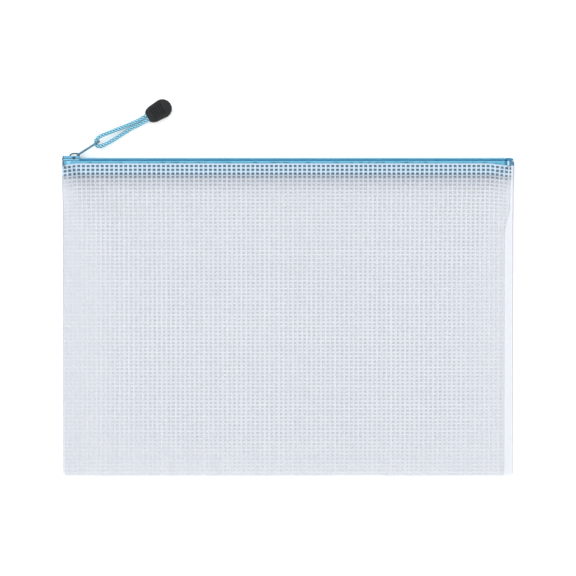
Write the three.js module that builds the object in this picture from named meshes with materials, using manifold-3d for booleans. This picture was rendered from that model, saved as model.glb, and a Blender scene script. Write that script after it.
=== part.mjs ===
// A flat zipped pouch of the A4 size: two panels of clear film with a woven grid in it, and a coil zip along the
// top edge.
// It lies empty and closed on its back panel, with the slider at the left end of the zip.
// Millimetres. +X runs along the zip, +Y from the bottom weld up to the zip, and +Z out of the front panel.
// The origin is the middle of the bag, on the outer face of the back panel.

import * as THREE from "three";
import { mergeVertices } from "three/addons/utils/BufferGeometryUtils.js";
import Module from "manifold-3d";

const wasm = await Module();
wasm.setup();

// Bag
const BAG_WIDTH = 338.6;
const BAG_HEIGHT = 238.5; // from the bottom edge to the top of the chain
const SIDE_TAPER = 0.4; // how far each side draws in from the zip to the bottom
const CORNER_RADIUS = 3;
const PANEL_THICKNESS = 0.4;
const PANEL_DROP = 3.85; // from the top of the chain down to the top edge of the panels
const WELD_WIDTH = 4.5;
const WELD_PRESS = 0.1; // the weld is this much thinner on its outer face
const WELD_STEP = 0.6; // width of the slope beside the weld
const LAYER_GAP = 0.1; // between layers that lie on each other
const SWELL = 1.5; // how far the empty front panel stands off the back panel
const SWELL_RUN = 45; // distance from the bottom weld over which it rises to that
const RIPPLE = 0.3; // height of the front panel's slow waves
const RIPPLE_LENGTH = 150;
const LEAN = 98; // the front panel comes down from the zip to the back panel over this distance
const EDGE_LIFT_RUN = 45; // the side welds rise to the middle of the zip over this distance
const SIDE_FAN = 1.6; // the panels part beside the weld over this share of the drop from the zip
const SIDE_FAN_MOST = 70; // and over this distance at most
const LEFT_END_SAG = 1.1; // the panels' top edges droop this much at the ends of the zip
const RIGHT_END_SAG = 1.9;
const LEFT_SAG_RUN = 13; // distance from the side over which they droop
const RIGHT_SAG_RUN = 22;
const SAG_FADE = 60; // the droop fades out over this distance down the panels

// Zip tapes
const TAPE_THICKNESS = 0.5;
const FRONT_TAPE_DROP = 8.4; // lower edge of each tape below the top edge of the panels
const BACK_TAPE_DROP = 10.4;
const TAPE_SLOT = 2; // between the two tapes under the chain
const FOLD_RADIUS = 1; // outside of the fold from the chain down to the panel
const LEFT_END_RUN = 1.1; // each end of the zip closes over this length
const RIGHT_END_RUN = 4.5;
const END_PINCH = 0.5; // between the two tapes in the closed ends
const END_DROP = 0.3; // the tape under the chain is this much lower in the closed ends

// Coils
const CHAIN_WIDTH = 5.8;
const CHAIN_HEIGHT = 2.1;
const TOOTH_PITCH = 1.4;
const TOOTH_REACH = 0.5; // a head passes the middle of the chain by this much
const TOOTH_LENGTH = 2;
const TOOTH_GAP = 0.2; // between a head and its neighbours of the other row
const TOOTH_FLARE = 0.08; // a head is wider, and a root narrower, than the middle by this much
const FILLER_DIAMETER = 0.8;
const FILLER_CLEARANCE = 0.1;

// Stops
const END_GAP = 0.15; // between a coil's end and its stop
const TOP_STOP_LENGTH = 1.6;
const TOP_STOP_OUT = 0.4; // how far the top stops stand out of the slider's mouth
const BOTTOM_STOP_LENGTH = 5.3; // both rows are melted together behind the last tooth
const BOTTOM_STOP_GRIP = 1.8; // length of its full width
const BOTTOM_STOP_WIDTH = 6.8;
const BOTTOM_STOP_TIP = 2.6; // width at its outer end
const BOTTOM_STOP_NOSE = 1; // height of its outer end above the tape
const BOTTOM_STOP_SLOPE = 3; // its top comes down over this length
const BOTTOM_STOP_INSET = 0.6; // from the right end of the bag

// Slider
const SLIDER_LENGTH = 12.7;
const SLIDER_INSET = 0.65; // from the left end of the bag to the nose
const SLIDER_WALL = 0.55;
const SLIDER_GAP = 0.3; // above the chain, and on both faces of the tape
const ROW_CLEARANCE = 0.2; // beside the chain in the channel
const TOP_PLATE = 1.2;
const BOTTOM_PLATE = 1.1;
const BOTTOM_PLATE_WIDTH = 7.4;
const BOTTOM_PLATE_TAIL = 6.4;
const BOTTOM_PLATE_INSET = 0.6;
const TAPE_CLEARANCE = 0.3; // between the bottom plate's sides and the tapes
const BRIDGE_WIDTH = 1.3;
const BRIDGE_LENGTH = 3.4;
const BRIDGE_TIP = 0.5;
const PARTING_CLEARANCE = 0.15; // between the bridge and the parted heads
const MERGE_LENGTH = 4.8; // behind the bridge, where the two rows come together
const SLIDER_EDGE = 0.25; // chamfer

// Bail
const BAIL_START = 5; // from the nose
const BAIL_LENGTH = 7.35;
const BAIL_WIDTH = 2.8;
const BAIL_THICKNESS = 0.55;
const BAIL_EYE = 1.6; // height of the eye under the arch
const BAIL_ROOT = 0.6; // how deep its feet sit in the top plate
const SOCKET_CLEARANCE = 0.1;

// Pull
const WIRE_DIAMETER = 1.3;
const WIRE_CLEARANCE = 0.15;
const PULL_LENGTH = 19.2; // between the middles of the two cross bars
const PULL_WIDTH = 5.2; // between the middles of the two long sides
const PULL_CORNER = 1.3;
const PULL_ANGLE = 32.4; // degrees above the zip

// Cord and cord end
const CORD_DIAMETER = 2.8;
const CORD_STEPS = 50;
const CORD_SIDES = 8;
const CORD_ROUTE = [
  [-96.66, 156.8, 3.25],
  [-101.4, 154.01, 3.25],
  [-106.14, 151.22, 3.25],
  [-108.55, 149.8, 3.1],
  [-112.9, 147.45, 2.5],
  [-117.5, 145.5, 2],
  [-123.5, 142.8, 1.9],
  [-129.7, 140.3, 2.5],
  [-135.9, 137.7, 3.6],
  [-140.9, 135.4, 4.6],
  [-143.6, 132.9, 5],
  [-144.1, 130.5, 5],
  [-143, 128.6, 5],
  [-140.6, 128.1, 4.9],
  [-137.9, 129.1, 4.4],
  [-134.4, 131, 3.3],
  [-129.7, 133.9, 2.2],
  [-123.5, 137.9, 1.6],
  [-117.4, 141.6, 1.55],
  [-112.7, 143.7, 1.9],
  [-106.87, 146.96, 3],
  [-104.46, 148.38, 3.25],
  [-99.72, 151.17, 3.25],
  [-94.98, 153.96, 3.25],
];
const CORD_END_MOUTH = [-105.3, 149.8];
const CORD_END_ANGLE = 30.5; // degrees above the zip
const CORD_END_LENGTH = 20;
const CORD_END_WIDTH = 14.1;
const CORD_END_THICKNESS = 6.5;
const CORD_END_SHOULDER = 12.6; // width where the body starts
const NECK_LENGTH = 3.2;
const NECK_WIDTH = 8.1;
const NECK_STEP = 0.5; // the body stands out this much beside the neck
const STRAND_SPACING = 3.3; // between the middles of the two strands
const SOCKET_DEPTH = 11.5;
const CORD_CLEARANCE = 0.25;
const CORD_END_EDGE = 1.4; // rounding of its rim
const GRIP_GROOVES = 5;
const GROOVE_PITCH = 2;
const GROOVE_WIDTH = 0.8;
const GROOVE_DEPTH = 0.5;
const GROOVE_LENGTH = 8.6;
const GROOVE_START = 5; // from the mouth to the first groove

// The zip's cross-section, from the top of the chain down.
const chainTop = BAG_HEIGHT / 2;
const chainBase = chainTop - CHAIN_HEIGHT;
const webTop = chainBase - LAYER_GAP;
const panelTop = chainTop - PANEL_DROP;
const bottomEdge = -BAG_HEIGHT / 2;

// Distances from the zip's middle plane, which stands parallel to the table.
const chainHalf = CHAIN_WIDTH / 2;
const foldHalf = BOTTOM_PLATE_WIDTH / 2 + TAPE_CLEARANCE + TAPE_THICKNESS;
const pinchHalf = END_PINCH / 2 + TAPE_THICKNESS;
const skin = LAYER_GAP + PANEL_THICKNESS; // the panel over the tape, with the gap between them
const zipMiddle = foldHalf + skin;

// The rows part by this much round the bridge.
const bridgeHalf = BRIDGE_WIDTH / 2;
const spreadMost = bridgeHalf + TOOTH_REACH + PARTING_CLEARANCE;

const noseX = -BAG_WIDTH / 2 + SLIDER_INSET;
const bottomStopX = BAG_WIDTH / 2 - BOTTOM_STOP_INSET - BOTTOM_STOP_LENGTH;
const rowStart = noseX - TOP_STOP_OUT + TOP_STOP_LENGTH + END_GAP;
const rowEnd = bottomStopX - END_GAP;

const clamp = (t) => Math.min(1, Math.max(0, t));
const mix = (a, b, t) => a + (b - a) * t;
const radians = THREE.MathUtils.degToRad;

function ease(t) {
  const c = clamp(t);
  return c * c * (3 - 2 * c);
}

// Geometry helpers

function toSolid(geometry) {
  const bare = geometry.index ? geometry.toNonIndexed() : geometry.clone();
  bare.deleteAttribute("normal");
  bare.deleteAttribute("uv");
  const merged = mergeVertices(bare, 1e-4);
  const vertProperties = merged.attributes.position.array;
  const triVerts = new Uint32Array(merged.index.array);
  return new wasm.Manifold(new wasm.Mesh({ numProp: 3, vertProperties, triVerts }));
}

function toGeometry(solid) {
  const mesh = solid.getMesh();
  const geometry = new THREE.BufferGeometry();
  geometry.setAttribute("position", new THREE.BufferAttribute(mesh.vertProperties, 3));
  geometry.setIndex(new THREE.BufferAttribute(mesh.triVerts, 1));
  geometry.computeVertexNormals();
  return geometry;
}

// An outline drawn in X and -Z, raised along Y from one height to another, with chamfered rims.
function raised(shape, low, high, chamfer = 0, curveSegments = 6) {
  const geometry = new THREE.ExtrudeGeometry(shape, {
    depth: high - low - 2 * chamfer,
    bevelEnabled: chamfer > 0,
    bevelThickness: chamfer,
    bevelSize: chamfer,
    bevelOffset: -chamfer,
    bevelSegments: 1,
    curveSegments,
  });
  geometry.translate(0, 0, low + chamfer);
  return geometry.rotateX(-Math.PI / 2);
}

function polygon(points) {
  return new THREE.Shape(points.map(([x, y]) => new THREE.Vector2(x, y)));
}

// A closed sheet between two grids of points. front(i, j) is the face that i turned towards j sees.
function sheetGeometry(columns, rows, front, back) {
  const positions = [];
  const index = [];
  for (const face of [front, back]) {
    for (let i = 0; i < columns; i++) {
      for (let j = 0; j < rows; j++) {
        positions.push(...face(i, j));
      }
    }
  }
  const f = (i, j) => i * rows + j;
  const b = (i, j) => columns * rows + f(i, j);
  for (let i = 0; i + 1 < columns; i++) {
    for (let j = 0; j + 1 < rows; j++) {
      index.push(f(i, j), f(i + 1, j), f(i + 1, j + 1), f(i, j), f(i + 1, j + 1), f(i, j + 1));
      index.push(b(i, j), b(i + 1, j + 1), b(i + 1, j), b(i, j), b(i, j + 1), b(i + 1, j + 1));
    }
  }
  const wall = (i, j, k, l) => {
    index.push(b(i, j), b(k, l), f(k, l), b(i, j), f(k, l), f(i, j));
  };
  const lastI = columns - 1;
  const lastJ = rows - 1;
  for (let i = 0; i < lastI; i++) {
    wall(i, 0, i + 1, 0);
    wall(i + 1, lastJ, i, lastJ);
  }
  for (let j = 0; j < lastJ; j++) {
    wall(lastI, j, lastI, j + 1);
    wall(0, j + 1, 0, j);
  }
  const geometry = new THREE.BufferGeometry();
  geometry.setAttribute("position", new THREE.Float32BufferAttribute(positions, 3));
  geometry.setIndex(index);
  geometry.computeVertexNormals();
  return geometry;
}

// A round wire bent into a closed flat loop in the X and Z plane.
function wireLoop(points, radius, sides) {
  const positions = [];
  const index = [];
  const count = points.length;
  points.forEach((point, i) => {
    const before = points[(i + count - 1) % count];
    const after = points[(i + 1) % count];
    const along = new THREE.Vector2().subVectors(after, before).normalize();
    for (let k = 0; k < sides; k++) {
      const angle = (2 * Math.PI * (k + 0.5)) / sides;
      const out = radius * Math.cos(angle);
      positions.push(point.x + out * along.y, radius * Math.sin(angle), point.y - out * along.x);
    }
  });
  for (let i = 0; i < count; i++) {
    const next = (i + 1) % count;
    for (let k = 0; k < sides; k++) {
      const m = (k + 1) % sides;
      const a = i * sides + k;
      const b = i * sides + m;
      const c = next * sides + m;
      const d = next * sides + k;
      index.push(a, b, c, a, c, d);
    }
  }
  const geometry = new THREE.BufferGeometry();
  geometry.setAttribute("position", new THREE.Float32BufferAttribute(positions, 3));
  geometry.setIndex(index);
  geometry.computeVertexNormals();
  return geometry;
}

// Panels and tapes

// Where the bag's layers have a row or column of points: distances in from each side, up from the bottom, and down
// from the top edge of the panels.
const sideSteps = [0, LEFT_END_RUN / 2, LEFT_END_RUN, RIGHT_END_RUN * 0.6, WELD_WIDTH, WELD_WIDTH + WELD_STEP];
const innerSteps = [10, 18, 30, 46, 68, 100, 135];
const columns = [
  ...[...sideSteps, ...innerSteps].map((inset) => ({ side: -1, inset })),
  ...[...sideSteps, ...innerSteps].reverse().map((inset) => ({ side: 1, inset })),
];
const bottomSteps = [0, CORNER_RADIUS / 3, CORNER_RADIUS, WELD_WIDTH, WELD_WIDTH + WELD_STEP, 12, 25, 42, 62];
const tapeSteps = [BACK_TAPE_DROP, FRONT_TAPE_DROP, 5, 2, 0];
const dropSteps = [130, 95, 70, 52, 36, 24, 16, ...tapeSteps];
const panelRows = [...bottomSteps.map((up) => bottomEdge + up), ...dropSteps.map((drop) => panelTop - drop)];

// Half the bag's width at a height, with its drawn-in sides and round bottom corners.
function halfWidth(y) {
  const tapered = BAG_WIDTH / 2 - SIDE_TAPER * clamp((panelTop - y) / (panelTop - bottomEdge));
  const up = Math.min(y - bottomEdge, CORNER_RADIUS);
  return tapered - CORNER_RADIUS + Math.sqrt(CORNER_RADIUS ** 2 - (CORNER_RADIUS - up) ** 2);
}

const columnX = ({ side, inset }, y) => side * (halfWidth(y) - inset);
const endRun = (side) => (side < 0 ? LEFT_END_RUN : RIGHT_END_RUN);

// 0 where the two panels are pinched together at a side, and 1 where they are free.
function freedom({ side, inset }, drop) {
  const weld = WELD_WIDTH * clamp(drop / 8);
  const fan = Math.min(SIDE_FAN * Math.max(0, drop), SIDE_FAN_MOST);
  return ease((inset - weld) / (endRun(side) + fan));
}

// Half the thickness of all layers where they are pinched, with the tapes between the panels or below them.
function pinchedHalf(drop) {
  const tapes = pinchHalf + skin;
  const panels = PANEL_THICKNESS + LAYER_GAP / 2;
  return mix(tapes, panels, ease((drop - BACK_TAPE_DROP) / 8));
}

function pinchedMiddle(drop) {
  return mix(zipMiddle, PANEL_THICKNESS + LAYER_GAP / 2, ease(drop / EDGE_LIFT_RUN));
}

// The height on the bag of a row of points, with the droop of the top edges at both ends of the zip.
function sagged({ side, inset }, y) {
  const [most, run] = side < 0 ? [LEFT_END_SAG, LEFT_SAG_RUN] : [RIGHT_END_SAG, RIGHT_SAG_RUN];
  return y - most * (1 - ease(inset / run)) * (1 - ease((panelTop - y) / SAG_FADE));
}

function frontFree(x, y) {
  const flat = 2 * PANEL_THICKNESS + LAYER_GAP;
  const drop = panelTop - y;
  const up = y - bottomEdge;
  const top = zipMiddle + foldHalf + skin;
  const raisedBy = ease((up - WELD_WIDTH) / SWELL_RUN);
  const wave = Math.sin((2 * Math.PI * x) / RIPPLE_LENGTH) * Math.cos((2 * Math.PI * y) / RIPPLE_LENGTH);
  const leaned = ease(drop / LEAN);
  return mix(top, flat, leaned) + (SWELL + RIPPLE * wave) * raisedBy * leaned;
}

// Heights of the outer faces of the front and back panels.
function frontHeight(column, y) {
  const drop = panelTop - y;
  const pinched = pinchedMiddle(drop) + pinchedHalf(drop);
  return mix(pinched, frontFree(columnX(column, y), y), freedom(column, drop));
}

function backHeight(column, y) {
  const drop = panelTop - y;
  return mix(pinchedMiddle(drop) - pinchedHalf(drop), 0, freedom(column, drop));
}

// How far the weld presses an outer face in.
function pressed({ inset }, y) {
  const edge = Math.min(inset, y - bottomEdge);
  return WELD_PRESS * (1 - clamp((edge - WELD_WIDTH) / WELD_STEP));
}

function panelGeometry(front) {
  const point = (i, j, outer) => {
    const column = columns[i];
    const y = panelRows[j];
    const face = front ? frontHeight(column, y) : backHeight(column, y);
    const inward = outer ? pressed(column, y) : PANEL_THICKNESS;
    return [columnX(column, y), sagged(column, y), front ? face - inward : face + inward];
  };
  return sheetGeometry(
    columns.length,
    panelRows.length,
    (i, j) => point(i, j, front),
    (i, j) => point(i, j, !front),
  );
}

// A tape runs from its lower edge up inside the panel, over the fold, and under the coil to its inner edge.
function tapeGeometry(front) {
  const lowest = front ? FRONT_TAPE_DROP : BACK_TAPE_DROP;
  const drops = tapeSteps.filter((drop) => drop <= lowest);
  const foldAngles = [0, 30, 60, 90].map(radians);
  const sign = front ? 1 : -1;
  const point = (i, j, outer) => {
    const column = columns[i];
    const inward = outer ? 0 : TAPE_THICKNESS;
    if (j < drops.length) {
      const y = panelTop - drops[j];
      const face = front ? frontHeight(column, y) - skin : backHeight(column, y) + skin;
      return [columnX(column, y), sagged(column, y), face - sign * inward];
    }
    const x = columnX(column, panelTop);
    const open = freedom(column, 0);
    const top = webTop - END_DROP * (1 - open);
    const half = mix(pinchHalf, foldHalf, open);
    const radius = mix(pinchHalf - LAYER_GAP, FOLD_RADIUS, open);
    const k = j - drops.length;
    if (k < foldAngles.length) {
      const bend = radius - inward;
      const out = half - radius + bend * Math.cos(foldAngles[k]);
      return [x, top - radius + bend * Math.sin(foldAngles[k]), zipMiddle + sign * out];
    }
    return [x, top - inward, zipMiddle + sign * mix(LAYER_GAP / 2, TAPE_SLOT / 2, open)];
  };
  return sheetGeometry(
    columns.length,
    drops.length + foldAngles.length + 1,
    (i, j) => point(i, j, front),
    (i, j) => point(i, j, !front),
  );
}

// Coils

// How far a row stands out from its closed place, at a distance behind the slider's nose.
function spread(behind) {
  return spreadMost * (1 - ease((behind - BRIDGE_LENGTH) / MERGE_LENGTH));
}

const rowSpread = (x) => spread(x - noseX);
const mergeSteps = [0, 0.2, 0.4, 0.6, 0.8, 1].map((t) => BRIDGE_LENGTH + MERGE_LENGTH * t);

// The line that follows a row at a distance from the chain's middle, from its left end to its right end.
function rowLine(half, start, end) {
  const bends = mergeSteps.map((behind) => noseX + behind).filter((x) => x > start && x < end);
  return [start, ...bends, end].map((x) => [x, half + rowSpread(x)]);
}

// A row is a spine with a comb of heads, flared so that they hold the other row's heads.
function coilGeometry(sign) {
  const root = TOOTH_LENGTH - TOOTH_REACH;
  const meanWidth = TOOTH_PITCH / 2 - TOOTH_GAP - TOOTH_FLARE * (1 - (2 * TOOTH_REACH) / TOOTH_LENGTH);
  const headHalf = meanWidth / 2 + TOOTH_FLARE / 2;
  const rootHalf = meanWidth / 2 - TOOTH_FLARE / 2;
  const outline = rowLine(chainHalf, rowStart, rowEnd);
  const first = rowStart + headHalf + (sign > 0 ? 0 : TOOTH_PITCH / 2);
  const count = Math.floor((rowEnd - headHalf - first) / TOOTH_PITCH) + 1;
  outline.push([rowEnd, root + rowSpread(rowEnd)]);
  for (let n = count - 1; n >= 0; n--) {
    const x = first + n * TOOTH_PITCH;
    const out = rowSpread(x);
    const rightRoot = Math.min(x + rootHalf, rowEnd - LAYER_GAP / 2);
    const leftRoot = Math.max(x - rootHalf, rowStart + LAYER_GAP / 2);
    outline.push([rightRoot, root + out], [x + headHalf, out - TOOTH_REACH]);
    outline.push([x - headHalf, out - TOOTH_REACH], [leftRoot, root + out]);
  }
  outline.push([rowStart, root + rowSpread(rowStart)]);
  const comb = raised(polygon(outline.map(([x, half]) => [x, -sign * half])), chainBase, chainTop);
  const grooveHalf = FILLER_DIAMETER / 2 + FILLER_CLEARANCE;
  const inner = rowLine(fillerAxis - grooveHalf, rowStart - 1, rowEnd + 1);
  const outer = rowLine(fillerAxis + grooveHalf, rowStart - 1, rowEnd + 1);
  const strip = [...outer, ...inner.reverse()].map(([x, half]) => [x, -sign * half]);
  const grooveTop = chainBase + FILLER_DIAMETER + 2 * FILLER_CLEARANCE;
  const groove = raised(polygon(strip), chainBase - 1, grooveTop);
  return toGeometry(toSolid(comb).subtract(toSolid(groove)));
}

// The filler cord lies in the middle of the spine, on the tape.
const fillerAxis = (TOOTH_LENGTH - TOOTH_REACH + chainHalf) / 2;

function fillerGeometry(sign) {
  const y = chainBase + FILLER_CLEARANCE / 2 + FILLER_DIAMETER / 2;
  const line = rowLine(fillerAxis, rowStart, rowEnd);
  const points = line.map(([x, half]) => new THREE.Vector3(x, y, sign * half));
  const section = octagon(FILLER_DIAMETER / 2);
  const rings = points.map((point, i) => {
    const before = points[Math.max(0, i - 1)];
    const after = points[Math.min(points.length - 1, i + 1)];
    const slope = (after.z - before.z) / (after.x - before.x);
    return section.map(([across, up]) => [point.x - across * slope, point.y + up, point.z + across]);
  });
  return tubeGeometry(rings);
}

function octagon(radius) {
  return Array.from({ length: 8 }, (_, k) => {
    const angle = (2 * Math.PI * (k + 0.5)) / 8;
    return [radius * Math.cos(angle), radius * Math.sin(angle)];
  });
}

// A closed tube through rings of points that run along +X and turn from +Z towards +Y.
function tubeGeometry(rings) {
  const sides = rings[0].length;
  const positions = rings.flat(2);
  const index = [];
  const last = (rings.length - 1) * sides;
  for (let i = 0; i + 1 < rings.length; i++) {
    for (let k = 0; k < sides; k++) {
      const m = (k + 1) % sides;
      const a = i * sides + k;
      const b = i * sides + m;
      index.push(a, b + sides, b, a, a + sides, b + sides);
    }
  }
  for (let k = 1; k + 1 < sides; k++) {
    index.push(0, k, k + 1, last, last + k + 1, last + k);
  }
  const geometry = new THREE.BufferGeometry();
  geometry.setAttribute("position", new THREE.Float32BufferAttribute(positions, 3));
  geometry.setIndex(index);
  geometry.computeVertexNormals();
  return geometry;
}

// Stops

function roundedRectangle(x0, x1, y0, y1, radius) {
  const shape = new THREE.Shape();
  shape.moveTo(x0 + radius, y0);
  shape.lineTo(x1 - radius, y0);
  shape.quadraticCurveTo(x1, y0, x1, y0 + radius);
  shape.lineTo(x1, y1 - radius);
  shape.quadraticCurveTo(x1, y1, x1 - radius, y1);
  shape.lineTo(x0 + radius, y1);
  shape.quadraticCurveTo(x0, y1, x0, y1 - radius);
  shape.lineTo(x0, y0 + radius);
  shape.quadraticCurveTo(x0, y0, x0 + radius, y0);
  return shape;
}

// Each top stop sits in the slider's mouth between the bridge and the flange, on the end of its row.
function topStopGeometry(sign) {
  const x0 = noseX - TOP_STOP_OUT;
  const inner = bridgeHalf + PARTING_CLEARANCE;
  const outer = chainHalf + spreadMost;
  const [low, high] = sign > 0 ? [-outer, -inner] : [inner, outer];
  return raised(roundedRectangle(x0, x0 + TOP_STOP_LENGTH, low, high, 0.4), chainBase, chainTop, 0.2, 2);
}

// The melted end of both rows, as wide as they are at the last tooth, and narrow and low at the bag's end.
function bottomStopGeometry() {
  const half = BOTTOM_STOP_WIDTH / 2;
  const tip = BOTTOM_STOP_TIP / 2;
  const x0 = bottomStopX;
  const x1 = x0 + BOTTOM_STOP_LENGTH;
  const plan = new THREE.Shape();
  plan.moveTo(x0, -half);
  plan.lineTo(x0 + BOTTOM_STOP_GRIP, -half);
  plan.quadraticCurveTo(x0 + BOTTOM_STOP_GRIP + 0.6, -tip, x1, -tip);
  plan.lineTo(x1, tip);
  plan.quadraticCurveTo(x0 + BOTTOM_STOP_GRIP + 0.6, tip, x0 + BOTTOM_STOP_GRIP, half);
  plan.lineTo(x0, half);
  const side = new THREE.Shape();
  side.moveTo(x0 - 1, chainBase - 1);
  side.lineTo(x1, chainBase - 1);
  side.lineTo(x1, chainBase + BOTTOM_STOP_NOSE);
  side.quadraticCurveTo(x1 - 0.2, chainTop, x1 - BOTTOM_STOP_SLOPE, chainTop);
  side.lineTo(x0 - 1, chainTop);
  const profile = new THREE.ExtrudeGeometry(side, { depth: 2 * BOTTOM_STOP_WIDTH, bevelEnabled: false });
  profile.translate(0, 0, -BOTTOM_STOP_WIDTH);
  const block = raised(plan, chainBase, chainTop, 0.2, 4);
  return toGeometry(toSolid(block).intersect(toSolid(profile)));
}

// Slider, drawn from its nose along +X, with the top of the chain at height 0 and the chain's middle at Z 0

const roof = SLIDER_GAP;
const plateTop = roof + TOP_PLATE;
const flangeBottom = SLIDER_GAP - CHAIN_HEIGHT - LAYER_GAP;
const bottomPlateTop = -CHAIN_HEIGHT - LAYER_GAP - TAPE_THICKNESS - SLIDER_GAP;

// Both sides of an outline that follows the rows at a distance, rounded at nose and tail.
function alongRows(distance, start, end, corner) {
  const steps = [BRIDGE_LENGTH, ...mergeSteps.slice(1, 5), BRIDGE_LENGTH + MERGE_LENGTH];
  const side = steps.map((behind) => [behind, distance + spread(behind)]);
  const nose = distance + spread(0);
  const tail = distance;
  const shape = new THREE.Shape();
  shape.moveTo(start + corner, -nose);
  side.forEach(([x, half]) => shape.lineTo(x, -half));
  shape.lineTo(end - corner, -tail);
  shape.quadraticCurveTo(end, -tail, end, corner - tail);
  shape.lineTo(end, tail - corner);
  shape.quadraticCurveTo(end, tail, end - corner, tail);
  side.reverse().forEach(([x, half]) => shape.lineTo(x, half));
  shape.lineTo(start + corner, nose);
  shape.quadraticCurveTo(start, nose, start, nose - corner);
  shape.lineTo(start, corner - nose);
  shape.quadraticCurveTo(start, -nose, start + corner, -nose);
  return shape;
}

function sliderBodyGeometry() {
  const channelHalf = chainHalf + ROW_CLEARANCE;
  const shell = alongRows(channelHalf + SLIDER_WALL, 0, SLIDER_LENGTH, 1.4);
  const top = raised(shell, flangeBottom, plateTop, SLIDER_EDGE);
  const channel = raised(alongRows(channelHalf, -2, SLIDER_LENGTH + 2, 0.01), flangeBottom - 1, roof);
  const nose = BOTTOM_PLATE_WIDTH / 2;
  const tail = BOTTOM_PLATE_TAIL / 2;
  const x0 = BOTTOM_PLATE_INSET;
  const x1 = SLIDER_LENGTH - BOTTOM_PLATE_INSET / 2;
  const sole = new THREE.Shape();
  sole.moveTo(x0 + 1.2, -nose);
  sole.lineTo(BRIDGE_LENGTH, -nose);
  sole.lineTo(BRIDGE_LENGTH + MERGE_LENGTH, -tail);
  sole.lineTo(x1 - 1, -tail);
  sole.quadraticCurveTo(x1, -tail, x1, 1 - tail);
  sole.lineTo(x1, tail - 1);
  sole.quadraticCurveTo(x1, tail, x1 - 1, tail);
  sole.lineTo(BRIDGE_LENGTH + MERGE_LENGTH, tail);
  sole.lineTo(BRIDGE_LENGTH, nose);
  sole.lineTo(x0 + 1.2, nose);
  sole.quadraticCurveTo(x0, nose, x0, nose - 1.2);
  sole.lineTo(x0, 1.2 - nose);
  sole.quadraticCurveTo(x0, -nose, x0 + 1.2, -nose);
  const bottom = raised(sole, bottomPlateTop - BOTTOM_PLATE, bottomPlateTop, SLIDER_EDGE);
  const bridge = new THREE.Shape();
  bridge.moveTo(x0 + 0.5, -bridgeHalf);
  bridge.lineTo(BRIDGE_LENGTH - 0.8, -bridgeHalf);
  bridge.lineTo(BRIDGE_LENGTH, -BRIDGE_TIP / 2);
  bridge.lineTo(BRIDGE_LENGTH, BRIDGE_TIP / 2);
  bridge.lineTo(BRIDGE_LENGTH - 0.8, bridgeHalf);
  bridge.lineTo(x0 + 0.5, bridgeHalf);
  bridge.quadraticCurveTo(x0, 0, x0 + 0.5, -bridgeHalf);
  const post = raised(bridge, bottomPlateTop - BOTTOM_PLATE / 2, roof + TOP_PLATE / 2);
  let body = toSolid(top).subtract(toSolid(channel)).add(toSolid(bottom)).add(toSolid(post));
  for (const [x, length] of bailFeet()) {
    const clear = SOCKET_CLEARANCE;
    const half = BAIL_WIDTH / 2 + clear;
    const socket = new THREE.BoxGeometry(length + 2 * clear, BAIL_ROOT + clear + 1, 2 * half);
    socket.translate(x + length / 2, plateTop - BAIL_ROOT - clear + (BAIL_ROOT + clear + 1) / 2, 0);
    body = body.subtract(toSolid(socket));
  }
  return toGeometry(body);
}

// Where each foot of the bail starts, and its length along the slider.
function bailFeet() {
  const end = BAIL_START + BAIL_LENGTH;
  return [
    [BAIL_START, BAIL_THICKNESS],
    [end - BAIL_THICKNESS, BAIL_THICKNESS],
  ];
}

// The bail rises slowly from the nose side and drops steeply at the tail. Height 0 is the top plate.
function bailGeometry() {
  const end = BAIL_START + BAIL_LENGTH;
  const wall = BAIL_THICKNESS;
  const crest = BAIL_EYE + wall;
  const shape = new THREE.Shape();
  shape.moveTo(BAIL_START, -BAIL_ROOT);
  shape.lineTo(BAIL_START + wall, -BAIL_ROOT);
  shape.lineTo(BAIL_START + wall, 0.35);
  shape.quadraticCurveTo(BAIL_START + 1.6, BAIL_EYE, BAIL_START + 3.6, BAIL_EYE);
  shape.lineTo(end - wall - 1, BAIL_EYE);
  shape.quadraticCurveTo(end - wall, BAIL_EYE, end - wall, BAIL_EYE - 0.9);
  shape.lineTo(end - wall, -BAIL_ROOT);
  shape.lineTo(end, -BAIL_ROOT);
  shape.lineTo(end, BAIL_EYE - 0.9);
  shape.quadraticCurveTo(end, crest, end - wall - 1, crest);
  shape.lineTo(BAIL_START + 3.6, crest);
  shape.quadraticCurveTo(BAIL_START + 0.9, crest, BAIL_START, 0.35);
  const depth = BAIL_WIDTH - 2 * 0.15;
  const geometry = new THREE.ExtrudeGeometry(shape, {
    depth,
    bevelThickness: 0.15,
    bevelSize: 0.15,
    bevelOffset: -0.15,
    bevelSegments: 1,
    curveSegments: 6,
  });
  return geometry.translate(0, plateTop, -depth / 2);
}

// Where the pull turns, in the eye of the bail.
const pullPivot = new THREE.Vector2(
  BAIL_START + BAIL_LENGTH - BAIL_THICKNESS - WIRE_CLEARANCE - WIRE_DIAMETER / 2,
  plateTop + WIRE_CLEARANCE + WIRE_DIAMETER / 2,
);

function pullGeometry() {
  const half = PULL_WIDTH / 2;
  const corner = PULL_CORNER;
  const cornerPoints = 5;
  const points = [];
  const addCorner = (x, z, from) => {
    for (let k = 0; k < cornerPoints; k++) {
      const angle = from + (k / (cornerPoints - 1)) * (Math.PI / 2);
      points.push(new THREE.Vector2(x + corner * Math.cos(angle), z + corner * Math.sin(angle)));
    }
  };
  addCorner(PULL_LENGTH - corner, half - corner, 0);
  addCorner(corner, half - corner, Math.PI / 2);
  addCorner(corner, corner - half, Math.PI);
  addCorner(PULL_LENGTH - corner, corner - half, 1.5 * Math.PI);
  return wireLoop(points, WIRE_DIAMETER / 2, 8);
}

// Cord and its moulded end

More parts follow.
